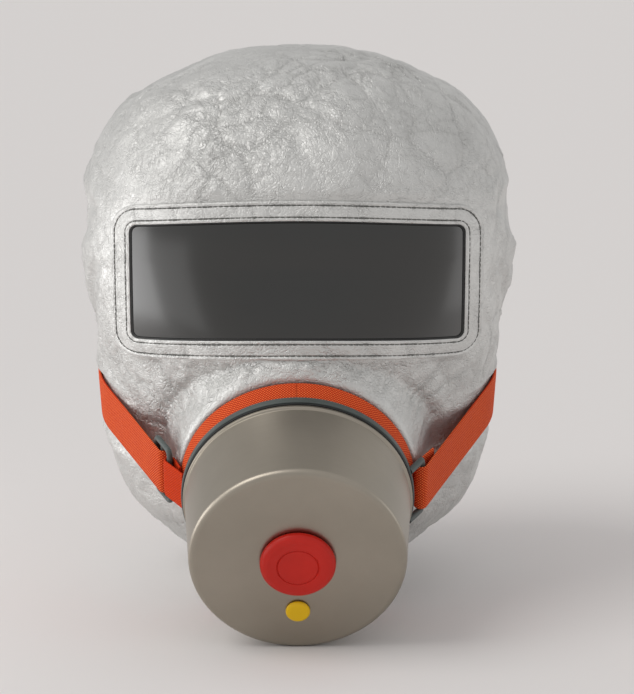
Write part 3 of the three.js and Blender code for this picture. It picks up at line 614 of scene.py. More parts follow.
def simulated_offsets(base, normals, firmness):
    """How far each point moves out when the fabric, cut a little too big for its seams, buckles.

    The slow sag is taken away again, because what stands inside the hood keeps it up.
    """
    rows, columns = base.shape[:2]
    mesh = bpy.data.meshes.new("cloth")
    faces = grid_faces(rows, columns, closed_columns=True)
    mesh.from_pydata((base.reshape(-1, 3) * MM).tolist(), [], faces)
    cloth = bpy.data.objects.new("cloth", mesh)
    bpy.context.scene.collection.objects.link(cloth)
    group = cloth.vertex_groups.new(name="held")
    weights = np.clip(0.05 + firmness.ravel(), 0, 1)
    for i, weight in enumerate(weights):
        group.add([i], float(weight), "REPLACE")
    settings = cloth.modifiers.new("cloth", "CLOTH").settings
    settings.quality = 5
    settings.mass = 0.25
    settings.tension_stiffness = 18
    settings.compression_stiffness = 18
    settings.shear_stiffness = 8
    settings.bending_stiffness = 0.35
    settings.air_damping = 2
    settings.vertex_group_mass = "held"
    settings.pin_stiffness = 0.6
    settings.shrink_min = -0.035
    settings.effector_weights.gravity = 0.2
    for step in range(1, SIM_FRAMES + 1):
        bpy.context.scene.frame_set(step)
    moved = cloth.evaluated_get(bpy.context.evaluated_depsgraph_get())
    points = np.empty(rows * columns * 3)
    moved.data.vertices.foreach_get("co", points)
    bpy.data.objects.remove(cloth)
    bpy.context.scene.frame_set(1)
    shift = points.reshape(base.shape) / MM - base
    outwards = np.einsum("ijk,ijk->ij", shift, normals)
    buckles = outwards - blurred(outwards, 8)
    calm = 0.4 + 0.6 * smoothstep(base[..., 2], 60, 140)
    from_pole = np.arange(rows)[::-1, None]
    return np.clip(buckles * calm * 0.5, -2, 1.6) * smoothstep(from_pole, 3, 16)


def resampled(field, rows, columns):
    """A field on a grid that closes round its columns, brought to another grid by smooth interpolation."""
    def stretch(values, count, closed):
        old = values.shape[0]
        place = np.arange(count) * (old if closed else old - 1) / (count if closed else count - 1)
        i = np.floor(place).astype(int)
        t = (place - i)[:, None]
        pick = (lambda k: k % old) if closed else (lambda k: np.clip(k, 0, old - 1))
        return spline(*(values[pick(i + k)] for k in (-1, 0, 1, 2)), t)

    return stretch(stretch(field, rows, False).T, columns, True).T


def lattice_noise(points, seed):
    """Smooth gradient noise in space, from about -1 to 1, with features about one unit across."""
    base = np.floor(points).astype(np.int64)
    part = points - base
    ease = part**3 * (part * (part * 6 - 15) + 10)
    total = np.zeros(points.shape[:-1])
    for corner in itertools.product((0, 1), repeat=3):
        corner = np.array(corner)
        code = (base + corner) @ np.array([73856093, 19349663, 83492791]) + seed * 7919
        for shift, factor in ((15, 0x2C1B3C6D), (12, 0x297A2D39)):
            code &= 0xFFFFFFFF
            code = (code ^ (code >> shift)) * factor
        code = (code & 0xFFFFFFFF) >> 6
        gradient = np.stack([(code >> k) & 0xFF for k in (0, 8, 16)], -1) / 127.5 - 1
        weight = np.prod(np.where(corner, ease, 1 - ease), -1)
        total += weight * np.einsum("...k,...k", gradient, part - corner)
    return total * 1.5


def noise_field(points, scale, seed):
    """Noise whose features are about scale millimetres across."""
    return lattice_noise(points / scale, seed)


def crumple(points, scale, seed, tilt=0.5, line=0.55):
    """Slightly tilted pillows that meet in creases about scale millimetres apart.

    Returns each point's height in pillow heights, and its nearness to a crease: a thin line, a wide zone.
    """
    bend = np.stack([noise_field(points, 1.1 * scale, seed + k) for k in (1, 2, 3)], -1)
    flat = (points + bend * scale * 0.28).reshape(-1, 3) / scale + seed * 3.7
    found = [noise.voronoi(p) for p in flat.tolist()]
    near = np.array([(d[0], d[1]) for d, _ in found])
    cells = np.array([(c[0], c[1]) for _, c in found])
    first, second = cells[:, 0], cells[:, 1]
    edge = (near[:, 1] ** 2 - near[:, 0] ** 2) / (2 * np.linalg.norm(second - first, axis=1) + 1e-6)
    lean = np.sin(first @ np.array([[12.9, 78.2, 37.7], [39.3, 11.1, 93.9], [73.1, 52.2, 17.4]]))
    rise = 1 - np.exp(-edge * 4.5)
    height = rise + tilt * np.einsum("ij,ij->i", lean, flat - first) * rise
    fading = 0.25 + 0.75 * smoothstep(noise_field(points, scale * 1.4, seed + 4), -0.35, 0.3)
    thin = np.exp(-((edge * scale / line) ** 2)).reshape(fading.shape) * fading
    wide = np.exp(-edge * scale / 2.2).reshape(fading.shape) * fading
    return height.reshape(fading.shape), thin, wide


def fabric_shape(points, firmness):
    """Crumpling too fine for the simulation, outwards in millimetres, and where the film has creased."""
    free = 0.1 + 0.9 * (1 - firmness)
    busy = np.clip(0.8 + 0.7 * noise_field(points, 75, 41), 0.4, 1.2)
    busy *= 0.5 + 0.5 * smoothstep(points[..., 2], 70, 140)
    offsets = noise_field(points, 55, 1) * 1.5
    lines = np.zeros(points.shape[:-1])
    zones = np.zeros(points.shape[:-1])

    def add(place, scale, height, depth, seed, share, tilt=0.5):
        nonlocal offsets, lines, zones
        pillow, thin, wide = crumple(place, scale, seed, tilt)
        offsets = offsets + (pillow - 0.6) * height * share - thin * depth * share
        lines = np.maximum(lines, thin * share)
        zones = np.maximum(zones, wide * share)

    add(points, 36, 1.7, 0.3, 10, busy, 0.9)
    add(points, 17, 0.75, 0.28, 20, busy, 0.7)
    add(points, 8, 0.22, 0.16, 30, busy * 0.8)

    depth = points[..., 1] - DEPTH_SHIFT - 8
    angle = np.arctan2(points[..., 0], -depth)
    round_neck = np.stack([55 * np.cos(angle), 55 * np.sin(angle), points[..., 2] * 0.3], -1)
    low = (1 - smoothstep(points[..., 2], 18, 66)) * smoothstep(points[..., 2], 12, 19)
    add(round_neck, 11, 0.8, 0.3, 50, low)

    radius, _ = canister_radius(points)
    around = np.arctan2(points[..., 0], (points - REAR_CENTRE) @ DOWN)
    round_collar = np.stack([55 * np.cos(around), 55 * np.sin(around), radius * 0.3], -1)
    beside = smoothstep(radius, 58, 67) * (1 - smoothstep(radius, 74, 118)) * (points[..., 1] < DEPTH_SHIFT)
    add(round_collar, 12, 0.5, 0.22, 60, beside)
    visible = smoothstep(free, 0.1, 0.6)
    return offsets * free, lines * visible, zones * visible


def add_creases(obj, lines, zones):
    """Marks for the fabric's material, where it paints shade: the thin crease lines, and the crinkled zones
    along them.
    """
    add_vectors(obj, "crease", np.stack([lines, zones, np.zeros_like(lines)], -1))


def pressed_by_strap(points, offsets):
    """The fabric lies flat under the strap and swells beside it."""
    across = np.abs(strap_distance(points))
    touching = smoothstep(points[..., 1] - DEPTH_SHIFT, -44, -22)
    flat = (1 - smoothstep(across, 12.5, 18)) * touching
    swell = np.exp(-(((across - 20) / 5.5) ** 2)) * 1.5 * touching
    return (offsets + swell) * (1 - flat) + flat * np.clip(offsets * 0.2 - 0.1, -0.6, 0.35)


def make_hood():
    rows, columns = (200, 130), 660
    angles = np.arange(columns) * 2 * math.pi / columns
    levels = hood_levels(*rows)
    base = hood_points(levels[:, None], angles)
    normals = hood_normals(levels[:, None], angles)
    firmness = held(base)
    offsets, lines, zones = fabric_shape(base, firmness)
    share = np.linspace(0, len(levels) - 1, SIM_ROWS)
    coarse_levels = np.interp(share, np.arange(len(levels)), levels)
    coarse_angles = np.arange(SIM_COLUMNS) * 2 * math.pi / SIM_COLUMNS
    coarse = hood_points(coarse_levels[:, None], coarse_angles)
    coarse_normals = hood_normals(coarse_levels[:, None], coarse_angles)
    buckles = simulated_offsets(coarse, coarse_normals, held(coarse))
    offsets += resampled(buckles, len(levels), columns) * (1 - firmness)
    offsets = pressed_by_strap(base, offsets)
    offsets = np.clip(offsets, -6, 5.5)

    window = rectangle_distance(base[..., 0], base[..., 2], 2.6, 5)
    radius, _ = canister_radius(base)
    front = base[..., 1] < DEPTH_SHIFT
    open_area = front & ((window < 0) | (radius < PORT_RADIUS + 1))

    def skin(step, inwards):
        points, normals_here = base[::step, ::step], normals[::step, ::step]
        offset_here, holes = offsets[::step, ::step] - inwards, open_area[::step, ::step]
        size = points.shape[:2]
        surface = points + normals_here * offset_here[..., None]
        faces = grid_faces(*size, closed_columns=True)
        inside = holes.ravel()
        faces = [face for face in faces if not any(inside[i] for i in face)]
        top = surface[-1].mean(0)
        flat = np.vstack([surface.reshape(-1, 3), top])
        last = (size[0] - 1) * size[1]
        for j in range(size[1]):
            faces.append((last + j, last + (j + 1) % size[1], len(flat) - 1))
        used = sorted({i for face in faces for i in face})
        renumber = {old: new for new, old in enumerate(used)}
        marks = [np.append(mark[::step, ::step].ravel(), 0)[used] for mark in (lines, zones)]
        return flat[used], [tuple(renumber[i] for i in face) for face in faces], marks

    points, faces, marks = skin(1, 0)
    outer = make_object("hood_fabric", points, faces, FABRIC_LOOK, node="hood_shell", slot="hood_fabric")
    add_creases(outer, *marks)
    points, faces, _ = skin(2, FABRIC)
    inner = make_object("hood_lining", points, faces, LINING, slot="hood_fabric")


# ---- Visor ----
def rectangle_loop(grow, corner, long_side=84, short_side=30, arc=12):
    """Points round the visor's rounded rectangle grown by grow, always as many."""
    half_x, bottom, top = VISOR_HALF_WIDTH + grow, VISOR_BOTTOM - grow, VISOR_TOP + grow
    centres = [
        (half_x - corner, bottom + corner, -90, short_side),
        (half_x - corner, top - corner, 0, long_side), (-half_x + corner, top - corner, 90, short_side),
        (-half_x + corner, bottom + corner, 180, long_side),
    ]
    points = []
    for k, (x, z, start, count) in enumerate(centres):
        for angle in np.radians(np.linspace(start, start + 90, arc + 1)):
            points.append((x + corner * math.cos(angle), z + corner * math.sin(angle)))
        next_x, next_z, next_start, _ = centres[(k + 1) % 4]
        turn = math.radians(next_start)
        target = np.array([next_x + corner * math.cos(turn), next_z + corner * math.sin(turn)])
        here = np.array(points[-1])
        for t in np.arange(1, count) / count:
            points.append(tuple(here + (target - here) * t))
    points = np.array(points)
    points[:, 1] -= droop(points[:, 0])
    return points


def visor_band(profile, inner, outer):
    """A closed band round the visor; profile holds (share from inner to outer loop, offset outwards)."""
    loop_in, loop_out = rectangle_loop(*inner), rectangle_loop(*outer)
    rings = []
    for share, offset in profile:
        x, z = (loop_in + (loop_out - loop_in) * share).T
        rings.append(on_front(x, z, np.full(len(x), float(offset))))
    points = np.array(rings)
    return points.reshape(-1, 3), grid_faces(*points.shape[:2], closed_rows=True, closed_columns=True)


def stitches(path, normals, length, pitch, thickness):
    """Short raised threads one after the other along a closed path."""
    steps = np.linalg.norm(np.diff(np.vstack([path, path[:1]]), axis=0), axis=1)
    travelled = np.concatenate([[0], np.cumsum(steps)])
    total = travelled[-1]
    count = int(total / pitch)
    closed, closed_normals = np.vstack([path, path[:1]]), np.vstack([normals, normals[:1]])

    def at(values, distance):
        return np.array([np.interp(distance % total, travelled, values[:, k]) for k in range(3)])

    parts = []
    for i in range(count):
        start = i * total / count
        line = []
        for t in (0, 0.12, 0.35, 0.65, 0.88, 1):
            lift = thickness * (0.75 * math.sin(math.pi * t) ** 0.5 - 0.35)
            line.append(at(closed, start + length * t) + at(closed_normals, start + length * t) * lift)
        parts.append(tube(line, (thickness / 2, thickness / 2), 6))
    return joined(parts)


def visor_line(grow, corner, offset):
    x, z = rectangle_loop(grow, corner).T
    level, angle = front_place(x, z)
    normals = hood_normals(level, angle)
    return hood_points(level, angle) + normals * offset, normals


def make_visor():
    columns, rows = 110, 40
    half_x, half_z = VISOR_HALF_WIDTH - 0.1, (VISOR_TOP - VISOR_BOTTOM) / 2 - 0.1
    x, z = np.meshgrid(np.linspace(-half_x, half_x, columns), np.linspace(-half_z, half_z, rows))
    dx, dz = np.abs(x) - (half_x - VISOR_CORNER), np.abs(z) - (half_z - VISOR_CORNER)
    corner = (dx > 0) & (dz > 0)
    pull = np.where(corner, np.maximum(dx, dz) / np.maximum(np.hypot(dx, dz), 1e-6), 1)
    x = np.where(corner, np.sign(x) * (half_x - VISOR_CORNER + dx * pull), x)
    z = np.where(corner, np.sign(z) * (half_z - VISOR_CORNER + dz * pull), z)
    z += (VISOR_TOP + VISOR_BOTTOM) / 2 - droop(x)
    faces = grid_faces(rows, columns)
    size = rows * columns
    front = on_front(x, z, np.full(x.shape, -0.15)).reshape(-1, 3)
    back = on_front(x, z, np.full(x.shape, -1.05)).reshape(-1, 3)
    rim = [*range(columns), *(i * columns + columns - 1 for i in range(1, rows))]
    rim += [*range(size - 2, size - columns - 1, -1), *(i * columns for i in range(rows - 2, 0, -1))]
    faces += [tuple(size + i for i in reversed(face)) for face in faces]
    for a, b in zip(rim, rim[1:] + rim[:1]):
        faces.append((b, a, size + a, size + b))
    look = visor_material()
    points = np.vstack([front, back])
    make_object("visor_window", points, faces, look, sharp=40, node="visor_pane", slot="visor")

    bead = rounded([(0, -1.1), (0, 0.05), (0.2, 0.3), (1, 0.2), (1, -1.1)], 0.3, True, 3)
    seal = visor_band(bead, (0.1, VISOR_CORNER), (2.7, 5))
    make_object("visor_seal", *seal, BLACK, node="visor_gasket", slot="black_rubber")

    seams = (0.19, 0.77)
    outline = [(0, 0.25), (0, 0.8), (0.07, 1.2)]
    for seam in seams:
        outline += [(seam - 0.05, 1.2), (seam, 0.75), (seam + 0.05, 1.2)]
    outline += [(0.9, 1.5), (0.97, 1.25), (1, 0.7), (1, 0.25)]
    inner_edge, outer_edge = (0.9, VISOR_CORNER + 0.9), (FRAME_MARGIN, FRAME_CORNER)
    profile = rounded(outline, 0.04, True, 2)
    points, faces = visor_band(profile, inner_edge, outer_edge)
    pillow, thin, wide = crumple(points, 13, 70)
    wrinkles = noise_field(points, 15, 60) * 0.2 + (pillow - 0.6) * 0.3 - thin * 0.12
    around = len(rectangle_loop(*inner_edge))
    share = np.repeat([p[0] for p in profile], around)
    lift = np.repeat([p[1] for p in profile], around)
    level, angle = front_place(points[:, 0], points[:, 2])
    wrinkles *= (lift > 0.5) * smoothstep(share, 0, 0.2)
    points = points + hood_normals(level, angle) * wrinkles[:, None]
    patch = make_object("visor_patch", points, faces, FABRIC_LOOK, node="visor_frame", slot="hood_fabric")
    add_creases(patch, thin * 0.5, wide * 0.7)
    reach = FRAME_MARGIN - inner_edge[0]
    for name, share in zip(("inner_stitching", "outer_stitching"), seams):
        corner_here = inner_edge[1] + (FRAME_CORNER - inner_edge[1]) * share
        line, normals = visor_line(inner_edge[0] + reach * share, corner_here, 0.85)
        make_object(name, *stitches(line, normals, 2.3, 2.7, 0.5), THREAD, slot="hood_fabric")

    flat = rounded([(0, -1.5), (0, -2.3), (1, -2.3), (1, -1.5)], 0.1, True, 3)
    binding = visor_band(flat, inner_edge, outer_edge)
    make_object("visor_binding", *binding, LINING, node="visor_inner_binding", slot="hood_fabric")


# ---- Neck ----
def make_neck():
    columns = 420
    angles = np.arange(columns) * 2 * math.pi / columns
    half, front, side, back, _ = section_at(np.array(HEM_HEIGHT / 2))
    outline = rounded([(1.6, 0.1), (1.6, 12.6), (-2.8, 12.6), (-2.8, 0.1)], 1.4, True, 6)
    wave = np.cos(angles * 52 + 1.6 * np.cos(angles * 5)) * 0.5 + np.cos(angles * 23 + 1) * 0.3
    depth = np.where(np.cos(angles) > 0, side - front, back - side)

    def hem_line(out, z):
        x = (half + out) * np.sin(angles)
        y = side - (depth + out) * np.cos(angles) + DEPTH_SHIFT
        return np.stack([x, y, np.full(columns, z)], -1)

    rings = []
    for reach, z in outline:
        height = z / HEM_HEIGHT
        ruffle = wave * math.sin(math.pi * min(max(height, 0), 1)) * (1 if reach > -1 else 0.5)
        rings.append(hem_line(reach + ruffle - 0.4, max(z, 0.02)))
    points = np.array(rings).reshape(-1, 3)
    faces = grid_faces(len(outline), columns, True, True)
    make_object("neck_hem_channel", points, faces, FABRIC_LOOK, node="neck_hem", slot="hood_fabric")

    line = hem_line(1.45 + wave * 0.8, 10.2)
    outward = line - np.array([0, side + DEPTH_SHIFT, 10.2])
    outward /= np.linalg.norm(outward, axis=1)[:, None]
    make_object("hem_stitching", *stitches(line, outward, 2.4, 3.2, 0.5), THREAD, slot="hood_fabric")


# ---- Canister ----
def make_turned(name, outline, material, node, slot, body="root", place=CANISTER, **shape):
    make_object(name, *lathe(outline, **shape), material, body, place, 50, node, slot)


def can_radius(s):
    rear = REAR_RADIUS - 0.9
    return rear - (rear - FRONT_RADIUS) * s / CANISTER_LENGTH


def make_canister():
    face, sheet, crease = CANISTER_LENGTH, 0.7, 3.4
    arc = [(math.cos(a), math.sin(a)) for a in np.linspace(0, math.pi / 2, 14)]
    shoulder = can_radius(face) - crease
    outer_arc = [(shoulder + crease * c, face - crease + crease * s) for c, s in arc]
    inside = crease - sheet
    inner_arc = [(shoulder + inside * c, face - crease + inside * s) for c, s in reversed(arc)]
    outline = [
        (REAR_RADIUS - 0.1, 0), (REAR_RADIUS, 0.5), (REAR_RADIUS, 1.6), (can_radius(2.4), 2.4),
        *outer_arc,
        (TEST_PORT_OFFSET + 10, face),
        (INLET_RADIUS, face),
        (INLET_RADIUS, face - sheet),
        *inner_arc,
        (can_radius(0) - sheet, 0),
    ]
    shape = {"radius": 0.25, "segments": 256}
    make_turned("canister_body", outline, STEEL, "canister_can", "canister_steel", **shape)

    seal = [(50.3, -1.2), (REAR_RADIUS + 0.4, -1.2), (REAR_RADIUS + 0.4, -0.2), (50.3, -0.2)]
    make_turned("canister_seal", seal, BLACK, "canister_gasket", "black_rubber", segments=192)

    top = face + GAP
    plug = [
        (0, top - 6.3), (INLET_RADIUS - 1.2, top - 6.3), (INLET_RADIUS - 0.4, top - 5),
        (INLET_RADIUS - 0.4, top), (17.6, top), (18.1, top + 0.9), (17.9, top + 2.4), (16.6, top + 3.9),
        (14.6, top + 4.4), (10.6, top + 4.5), (10.2, top + 4.45), (9.8, top + 3.75), (9.4, top + 4.35),
        (9.0, top + 4.45), (0, top + 4.3),
    ]
    make_turned("red_inlet_plug", plug, RED, "inlet_plug", "red_rubber", "inlet_plug",
                radius=0.5, segments=160, ring=False)

    button = [
        (0, top - 4), (TEST_PORT_RADIUS - 0.3, top - 4), (TEST_PORT_RADIUS - 0.3, top), (5.8, top),
        (5.9, top + 0.9), (5.2, top + 1.6), (4.6, top + 1.8), (0, top + 2.1),
    ]
    shifted = (*CANISTER[:3], REAR_CENTRE + DOWN * TEST_PORT_OFFSET)
    make_turned("yellow_port_plug", button, YELLOW, "test_port_plug", "yellow_plastic", "test_port_plug",
                shifted, radius=0.35, segments=96, ring=False)

    cover = [
        (OUTLET_RADIUS, OUTLET_END), (OUTLET_RADIUS + 2.2, OUTLET_END), (OUTLET_RADIUS + 2.2, -2),
        (OUTLET_RADIUS + 4.5, 0.3), (can_radius(0) - 1.3, 0.3), (can_radius(0) - 1.3, 1.5),
        (OUTLET_RADIUS, 1.5),
    ]
    make_turned("canister_back", cover, STEEL, "canister_rear_cover", "canister_steel", segments=160)

    end = OUTLET_END - GAP
    stopper = [
        (0, end - 8.6), (4, end - 8.2), (4.6, end - 3.8), (18.6, end - 3.4), (19.4, end - 2.4),
        (19.4, end), (OUTLET_RADIUS - 0.4, end), (OUTLET_RADIUS - 0.4, end + 7.5),
        (OUTLET_RADIUS - 1, end + 9), (0, end + 9),
    ]
    make_turned("red_outlet_plug", stopper, RED, "outlet_plug", "red_rubber", "outlet_plug",
                radius=0.6, segments=128, ring=False)


# ---- Collar ----
def collar_radius(s):
    return COLLAR_RADIUS + COLLAR_FLARE * (COLLAR_FRONT - s)


def make_collar():
    back = PORT_PLANE + GAP
    ring = [
        (REAR_RADIUS + 0.9, -1.5), (REAR_RADIUS + 0.9, COLLAR_FRONT),
        (collar_radius(COLLAR_FRONT), COLLAR_FRONT), (collar_radius(back), back),
        (PORT_RADIUS - 0.4, back), (PORT_RADIUS - 0.4, -26.5), (PORT_RADIUS - 3, -26.5),
        (PORT_RADIUS - 3, -1.5),
    ]
    root_s, root_x = -3.4, 54.2
    reach = LOOP_HALF + 0.6
    hook = [
        (root_x, -reach, root_s), (LOOP_X - 1.5, -reach, LOOP_S + 2.4), (LOOP_X, -reach + 1.2, LOOP_S),
        (LOOP_X, 0, LOOP_S), (LOOP_X, reach - 1.2, LOOP_S), (LOOP_X - 1.5, reach, LOOP_S + 2.4),
        (root_x, reach, root_s),
    ]
    bracket = tube(smooth_path(hook, 0.8), (1.75, 1.75), 18)
    moulding = joined([lathe(ring, 0.7, 192), bracket])
    make_object("collar_moulding", *moulding, GREY, "root", CANISTER, 50, "collar_ring", "grey_plastic")

    front, rear = COLLAR_FRONT - 0.5, PORT_PLANE + 1.2
    lift = GAP + WEBBING
    band = rounded(
        [
            (collar_radius(rear) + 0.1, rear), (collar_radius(rear) + lift, rear),
            (collar_radius(front) + lift, front), (collar_radius(front) + 0.1, front),
        ],
        0.6,
        True,
        4,
    )
    points, faces = lathe(band, 0.01, 360)
    names = {"node": "collar_band", "slot": "webbing"}
    strip = make_object("woven_collar_band", points, faces, STRAP_LOOK, place=CANISTER, **names)
    angles = np.arctan2(points[:, 0], -points[:, 1])
    weave = np.stack([angles * COLLAR_RADIUS, points[:, 2], np.zeros(len(points))], -1)
    add_vectors(strip, "weave", weave)


# ---- Webbing ----
def webbing(name, lower, upper, material):
    """A strap between two edge lines, with rounded selvedges."""
    low, high = smooth_path(np.stack([lower, upper], 1), 0.9).swapaxes(0, 1)
    middle = (low + high) / 2
    travelled = np.concatenate([[0], np.cumsum(np.linalg.norm(np.diff(middle, axis=0), axis=1))])
    along = np.gradient(middle, axis=0)
    wide = high - low
    width = np.linalg.norm(wide, axis=1)
    out = np.cross(along, wide)
    out /= np.linalg.norm(out, axis=1)[:, None]
    wide /= width[:, None]
    section = []
    for k in range(28):
        angle = 2 * math.pi * k / 28
        c, s = math.cos(angle), math.sin(angle)
        across = np.sign(c) * abs(c) ** 0.22
        section.append((across, np.sign(s) * abs(s) ** 0.55))
    points, weave = [], []
    for i in range(len(middle)):
        for across, lift in section:
            points.append(middle[i] + wide[i] * across * width[i] / 2 + out[i] * lift * WEBBING / 2)
            weave.append((travelled[i], across * width[i] / 2, 0))
    count = len(section)
    faces = grid_faces(len(middle), count, closed_columns=True)
    faces.append(tuple(reversed(range(count))))
    faces.append(tuple(range((len(middle) - 1) * count, len(middle) * count)))
    strap = make_object(name, points, faces, material, body=None, sharp=60, slot="webbing")
    add_vectors(strap, "weave", weave)
    return strap


BUCKLE = canister_point(-62.8, -20, 0)
BUCKLE_ALONG = np.array([-math.sin(BUCKLE_TURN), 0, 0]) - FORWARD * math.cos(BUCKLE_TURN)
BUCKLE_OUT = np.cross(BUCKLE_ALONG, DOWN)
FRAME_HALF = STRAP_WIDTH / 2 + 2.6


def bend(centre, start, toward, radius):
    """Half a turn round a bar, from the side start over the side toward."""
    angles = np.linspace(0, math.pi, 9)[:, None]
    return centre + start * radius * np.cos(angles) + toward * radius * np.sin(angles)


def hood_slice(lift, offset):
    """The line where the strap's plane, raised by lift, cuts the hood, from the -X cheek round the back."""
    cheek = 0.7
    angles = -cheek - (2 * math.pi - 2 * cheek) * np.arange(145) / 144
    level = np.full(len(angles), STRAP_HEIGHT / CROWN_START)
    for _ in range(12):
        depth = hood_points(level, angles)[:, 1] - DEPTH_SHIFT - STRAP_FRONT
        level = (STRAP_HEIGHT + lift + STRAP_SLOPE * depth) / CROWN_START
    return hood_points(level, angles) + hood_normals(level, angles) * offset


def taut_line(start, end, lift, offset):
    """One edge of the strap, taut over the hood from one end to the other."""
    line = hood_slice(lift, offset)

    def touch(place):
        side = math.copysign(1, place[0])
        outside = (np.sign(line[:, 0]) != side) | (line[:, 1] > DEPTH_SHIFT + 10)
        bearing = np.arctan2(side * (line[:, 0] - place[0]), line[:, 1] - place[1])
        return int(np.argmax(np.where(outside, -9, bearing)))

    first, last = touch(start), touch(end)
    places = np.linspace(first, last, 71)
    on_hood = np.array([[np.interp(p, np.arange(len(line)), line[:, k]) for k in range(3)] for p in places])
    lead = start + (on_hood[0] - start) * np.linspace(0, 1, 7)[:-1, None]
    trail = on_hood[-1] + (end - on_hood[-1]) * np.linspace(0, 1, 7)[1:, None]
    return np.vstack([lead, on_hood, trail])


def make_straps():
    middle_bar = BUCKLE + BUCKLE_ALONG * BAR_PITCH
    fold = bend(middle_bar, -BUCKLE_OUT, -BUCKLE_ALONG, BEND)
    tail = fold[0] + BUCKLE_ALONG * 8
    start = fold[-1] + BUCKLE_ALONG * (BAR_PITCH + 3)
    bar = canister_point(LOOP_X, LOOP_S, 0)
    away = np.array([math.sin(LOOP_TURN), 0, 0]) - FORWARD * math.cos(LOOP_TURN)
    out = np.cross(DOWN, away)
    wrap = bend(bar, out, -away, BEND + 0.5)
    sewn = wrap[-1] + away * 15
    lines = []
    for side in (1, -1):
        half = DOWN * side * STRAP_WIDTH / 2
        line = taut_line(start + half, wrap[0] + half, -side * STRAP_WIDTH / 2, 0.75 + WEBBING / 2)
        lines.append(np.vstack([tail + half, fold + half, line, wrap[1:] + half, sewn + half]))
    strap = webbing("orange_head_strap", *lines, STRAP_LOOK)
    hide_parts("head_strap", "strap_end")
    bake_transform(strap)

    lift = GAP + WEBBING + 0.1 + WEBBING / 2
    roots = [canister_point(-collar_radius(s) - lift, s, 0) for s in (-7.4, -13.5)]
    line = np.vstack([roots[0], bend(BUCKLE, BUCKLE_OUT, BUCKLE_ALONG, BEND), roots[1]])
    tab = webbing("orange_buckle_tab", line + DOWN * TAB_WIDTH / 2, line - DOWN * TAB_WIDTH / 2, TAB_LOOK)
    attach(tab, "root")
    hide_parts("buckle_tab")


def make_buckle():
    half, end, corner = FRAME_HALF + 0.1, 2 * BAR_PITCH, 2.6
    ring = []
    for a, w, start in ((0, -half, 180), (end, -half, 270), (end, half, 0), (0, half, 90)):
        centre_a = a + (corner if a == 0 else -corner)
        centre_w = w + (corner if w < 0 else -corner)
        for angle in np.radians(np.linspace(start, start + 90, 7)):
            ring.append((centre_a + corner * math.cos(angle), centre_w + corner * math.sin(angle)))
    path = [BUCKLE + BUCKLE_ALONG * a + DOWN * w for a, w in ring]
    dense = smooth_path(path + path[:1], 1.2)[:-1]
    bar_ends = [BUCKLE + BUCKLE_ALONG * BAR_PITCH + DOWN * w for w in np.linspace(-half, half, 9)]
    parts = [tube(dense, (1.45, 1.45), 16, closed=True), tube(bar_ends, (BAR, BAR), 16)]
    names = {"node": "strap_buckle", "slot": "grey_plastic"}
    make_object("strap_slide_buckle", *joined(parts), GREY, "buckle", sharp=50, **names)


# ---- Half mask ----
# Outline of the cup's wall: radius, and place along the canister's axis.
MASK = [
    (20.2, -27.8), (23.4, -27.8), (23.4, -32.4), (29, -35), (37.5, -41), (43, -52), (45.5, -68),
    (46, -82), (43, -87), (37, -88), (36.5, -86.8), (42, -85.2), (44, -81), (43.5, -68), (41, -52),
    (35.8, -42.5), (28.2, -37.2), (21.2, -35),
]


def spokes(start, end, height, angles):
    lines = []
    for angle in angles:
        c, s = math.cos(angle), math.sin(angle)
        lines.append([(start * c, start * s, height), (end * c, end * s, height)])
    return [tube(line, (0.6, 0.6), 10) for line in lines]


def add_valve_part(name, shape, node, place):
    make_object(name, *shape, GREY, "root", place, 50, node, "grey_plastic")


def make_half_mask():
    points, faces = lathe(MASK, 2.2, 160)
    x, y, s = points.T
    radius = np.hypot(x, y)
    spread = np.maximum(0, radius - 23.4) / 22.6
    cos = -y / np.maximum(radius, 1e-6)
    shaped = np.stack([x * (1 - 0.1 * spread * (1 - 0.5 * cos)), y * (1 + 0.06 * spread), s], -1)
    away = np.hypot(shaped[:, 2] - VALVE_S, shaped[:, 1] + VALVE_W)
    near = away < 11.8
    faces = [face for face in faces if not all(near[i] for i in face)]
    names = {"node": "half_mask", "slot": "silicone"}
    make_object("silicone_half_mask", shaped, faces, SILICONE, place=CANISTER, sharp=60, **names)

    for side, label in ((-1, "right"), (1, "left")):
        outwards = np.array([side, 0, 0])
        centre = canister_point(0, VALVE_S, VALVE_W)
        place = (np.cross(DOWN, outwards), DOWN, outwards, centre)
        wall = [(9, 31.4), (13, 31.4), (13, 32.6), (11.2, 32.6)]
        wall += [(11.2, 41.6), (14.5, 41.6), (14.5, 43), (9, 43)]
        seat = joined([lathe(wall, 0.5, 96), *spokes(-9.4, 9.4, 42.2, (0, math.pi / 2))])
        add_valve_part("valve_seat_" + label, seat, "exhale_seat_" + label, place)

        disc = [(0, 43.4), (10.6, 43.5), (10.8, 43.8), (10.6, 44.1), (2.4, 44.25), (0, 44.6)]
        make_turned("valve_flap_" + label, disc, MILKY, "exhale_flap_" + label, "valve_silicone",
                    "exhale_flap_" + label, place, radius=0.2, segments=96, ring=False)

        rim = [(13.2, 43.3), (14.5, 43.3), (14.5, 51.2), (13.2, 52.2)]
        rim += [(10.6, 52.2), (10.6, 51), (13.2, 50.4)]
        hub = lathe([(0, 51), (3, 51), (3, 52.2), (0, 52.3)], 0.4, 48, False)
        cover = joined([lathe(rim, 0.5, 96), hub, *spokes(2.6, 11, 51.6, np.arange(8) * math.pi / 4)])
        add_valve_part("valve_cover_" + label, cover, "exhale_cover_" + label, place)


# ---- Frame nodes that stay ----
KEPT = {
    "neck_elastic": ELASTIC,
    "wave_spring": ROLLED,
    "rear_plate": ROLLED,
    "dust_felt": FILTER,
    "carbon_bed": CARBON,
    "bed_screen": ROLLED,
    "particle_filter": FILTER,
    "front_plate": ROLLED,
    "clamp_nut": GREY,
    "mask_clamp": ROLLED,
}


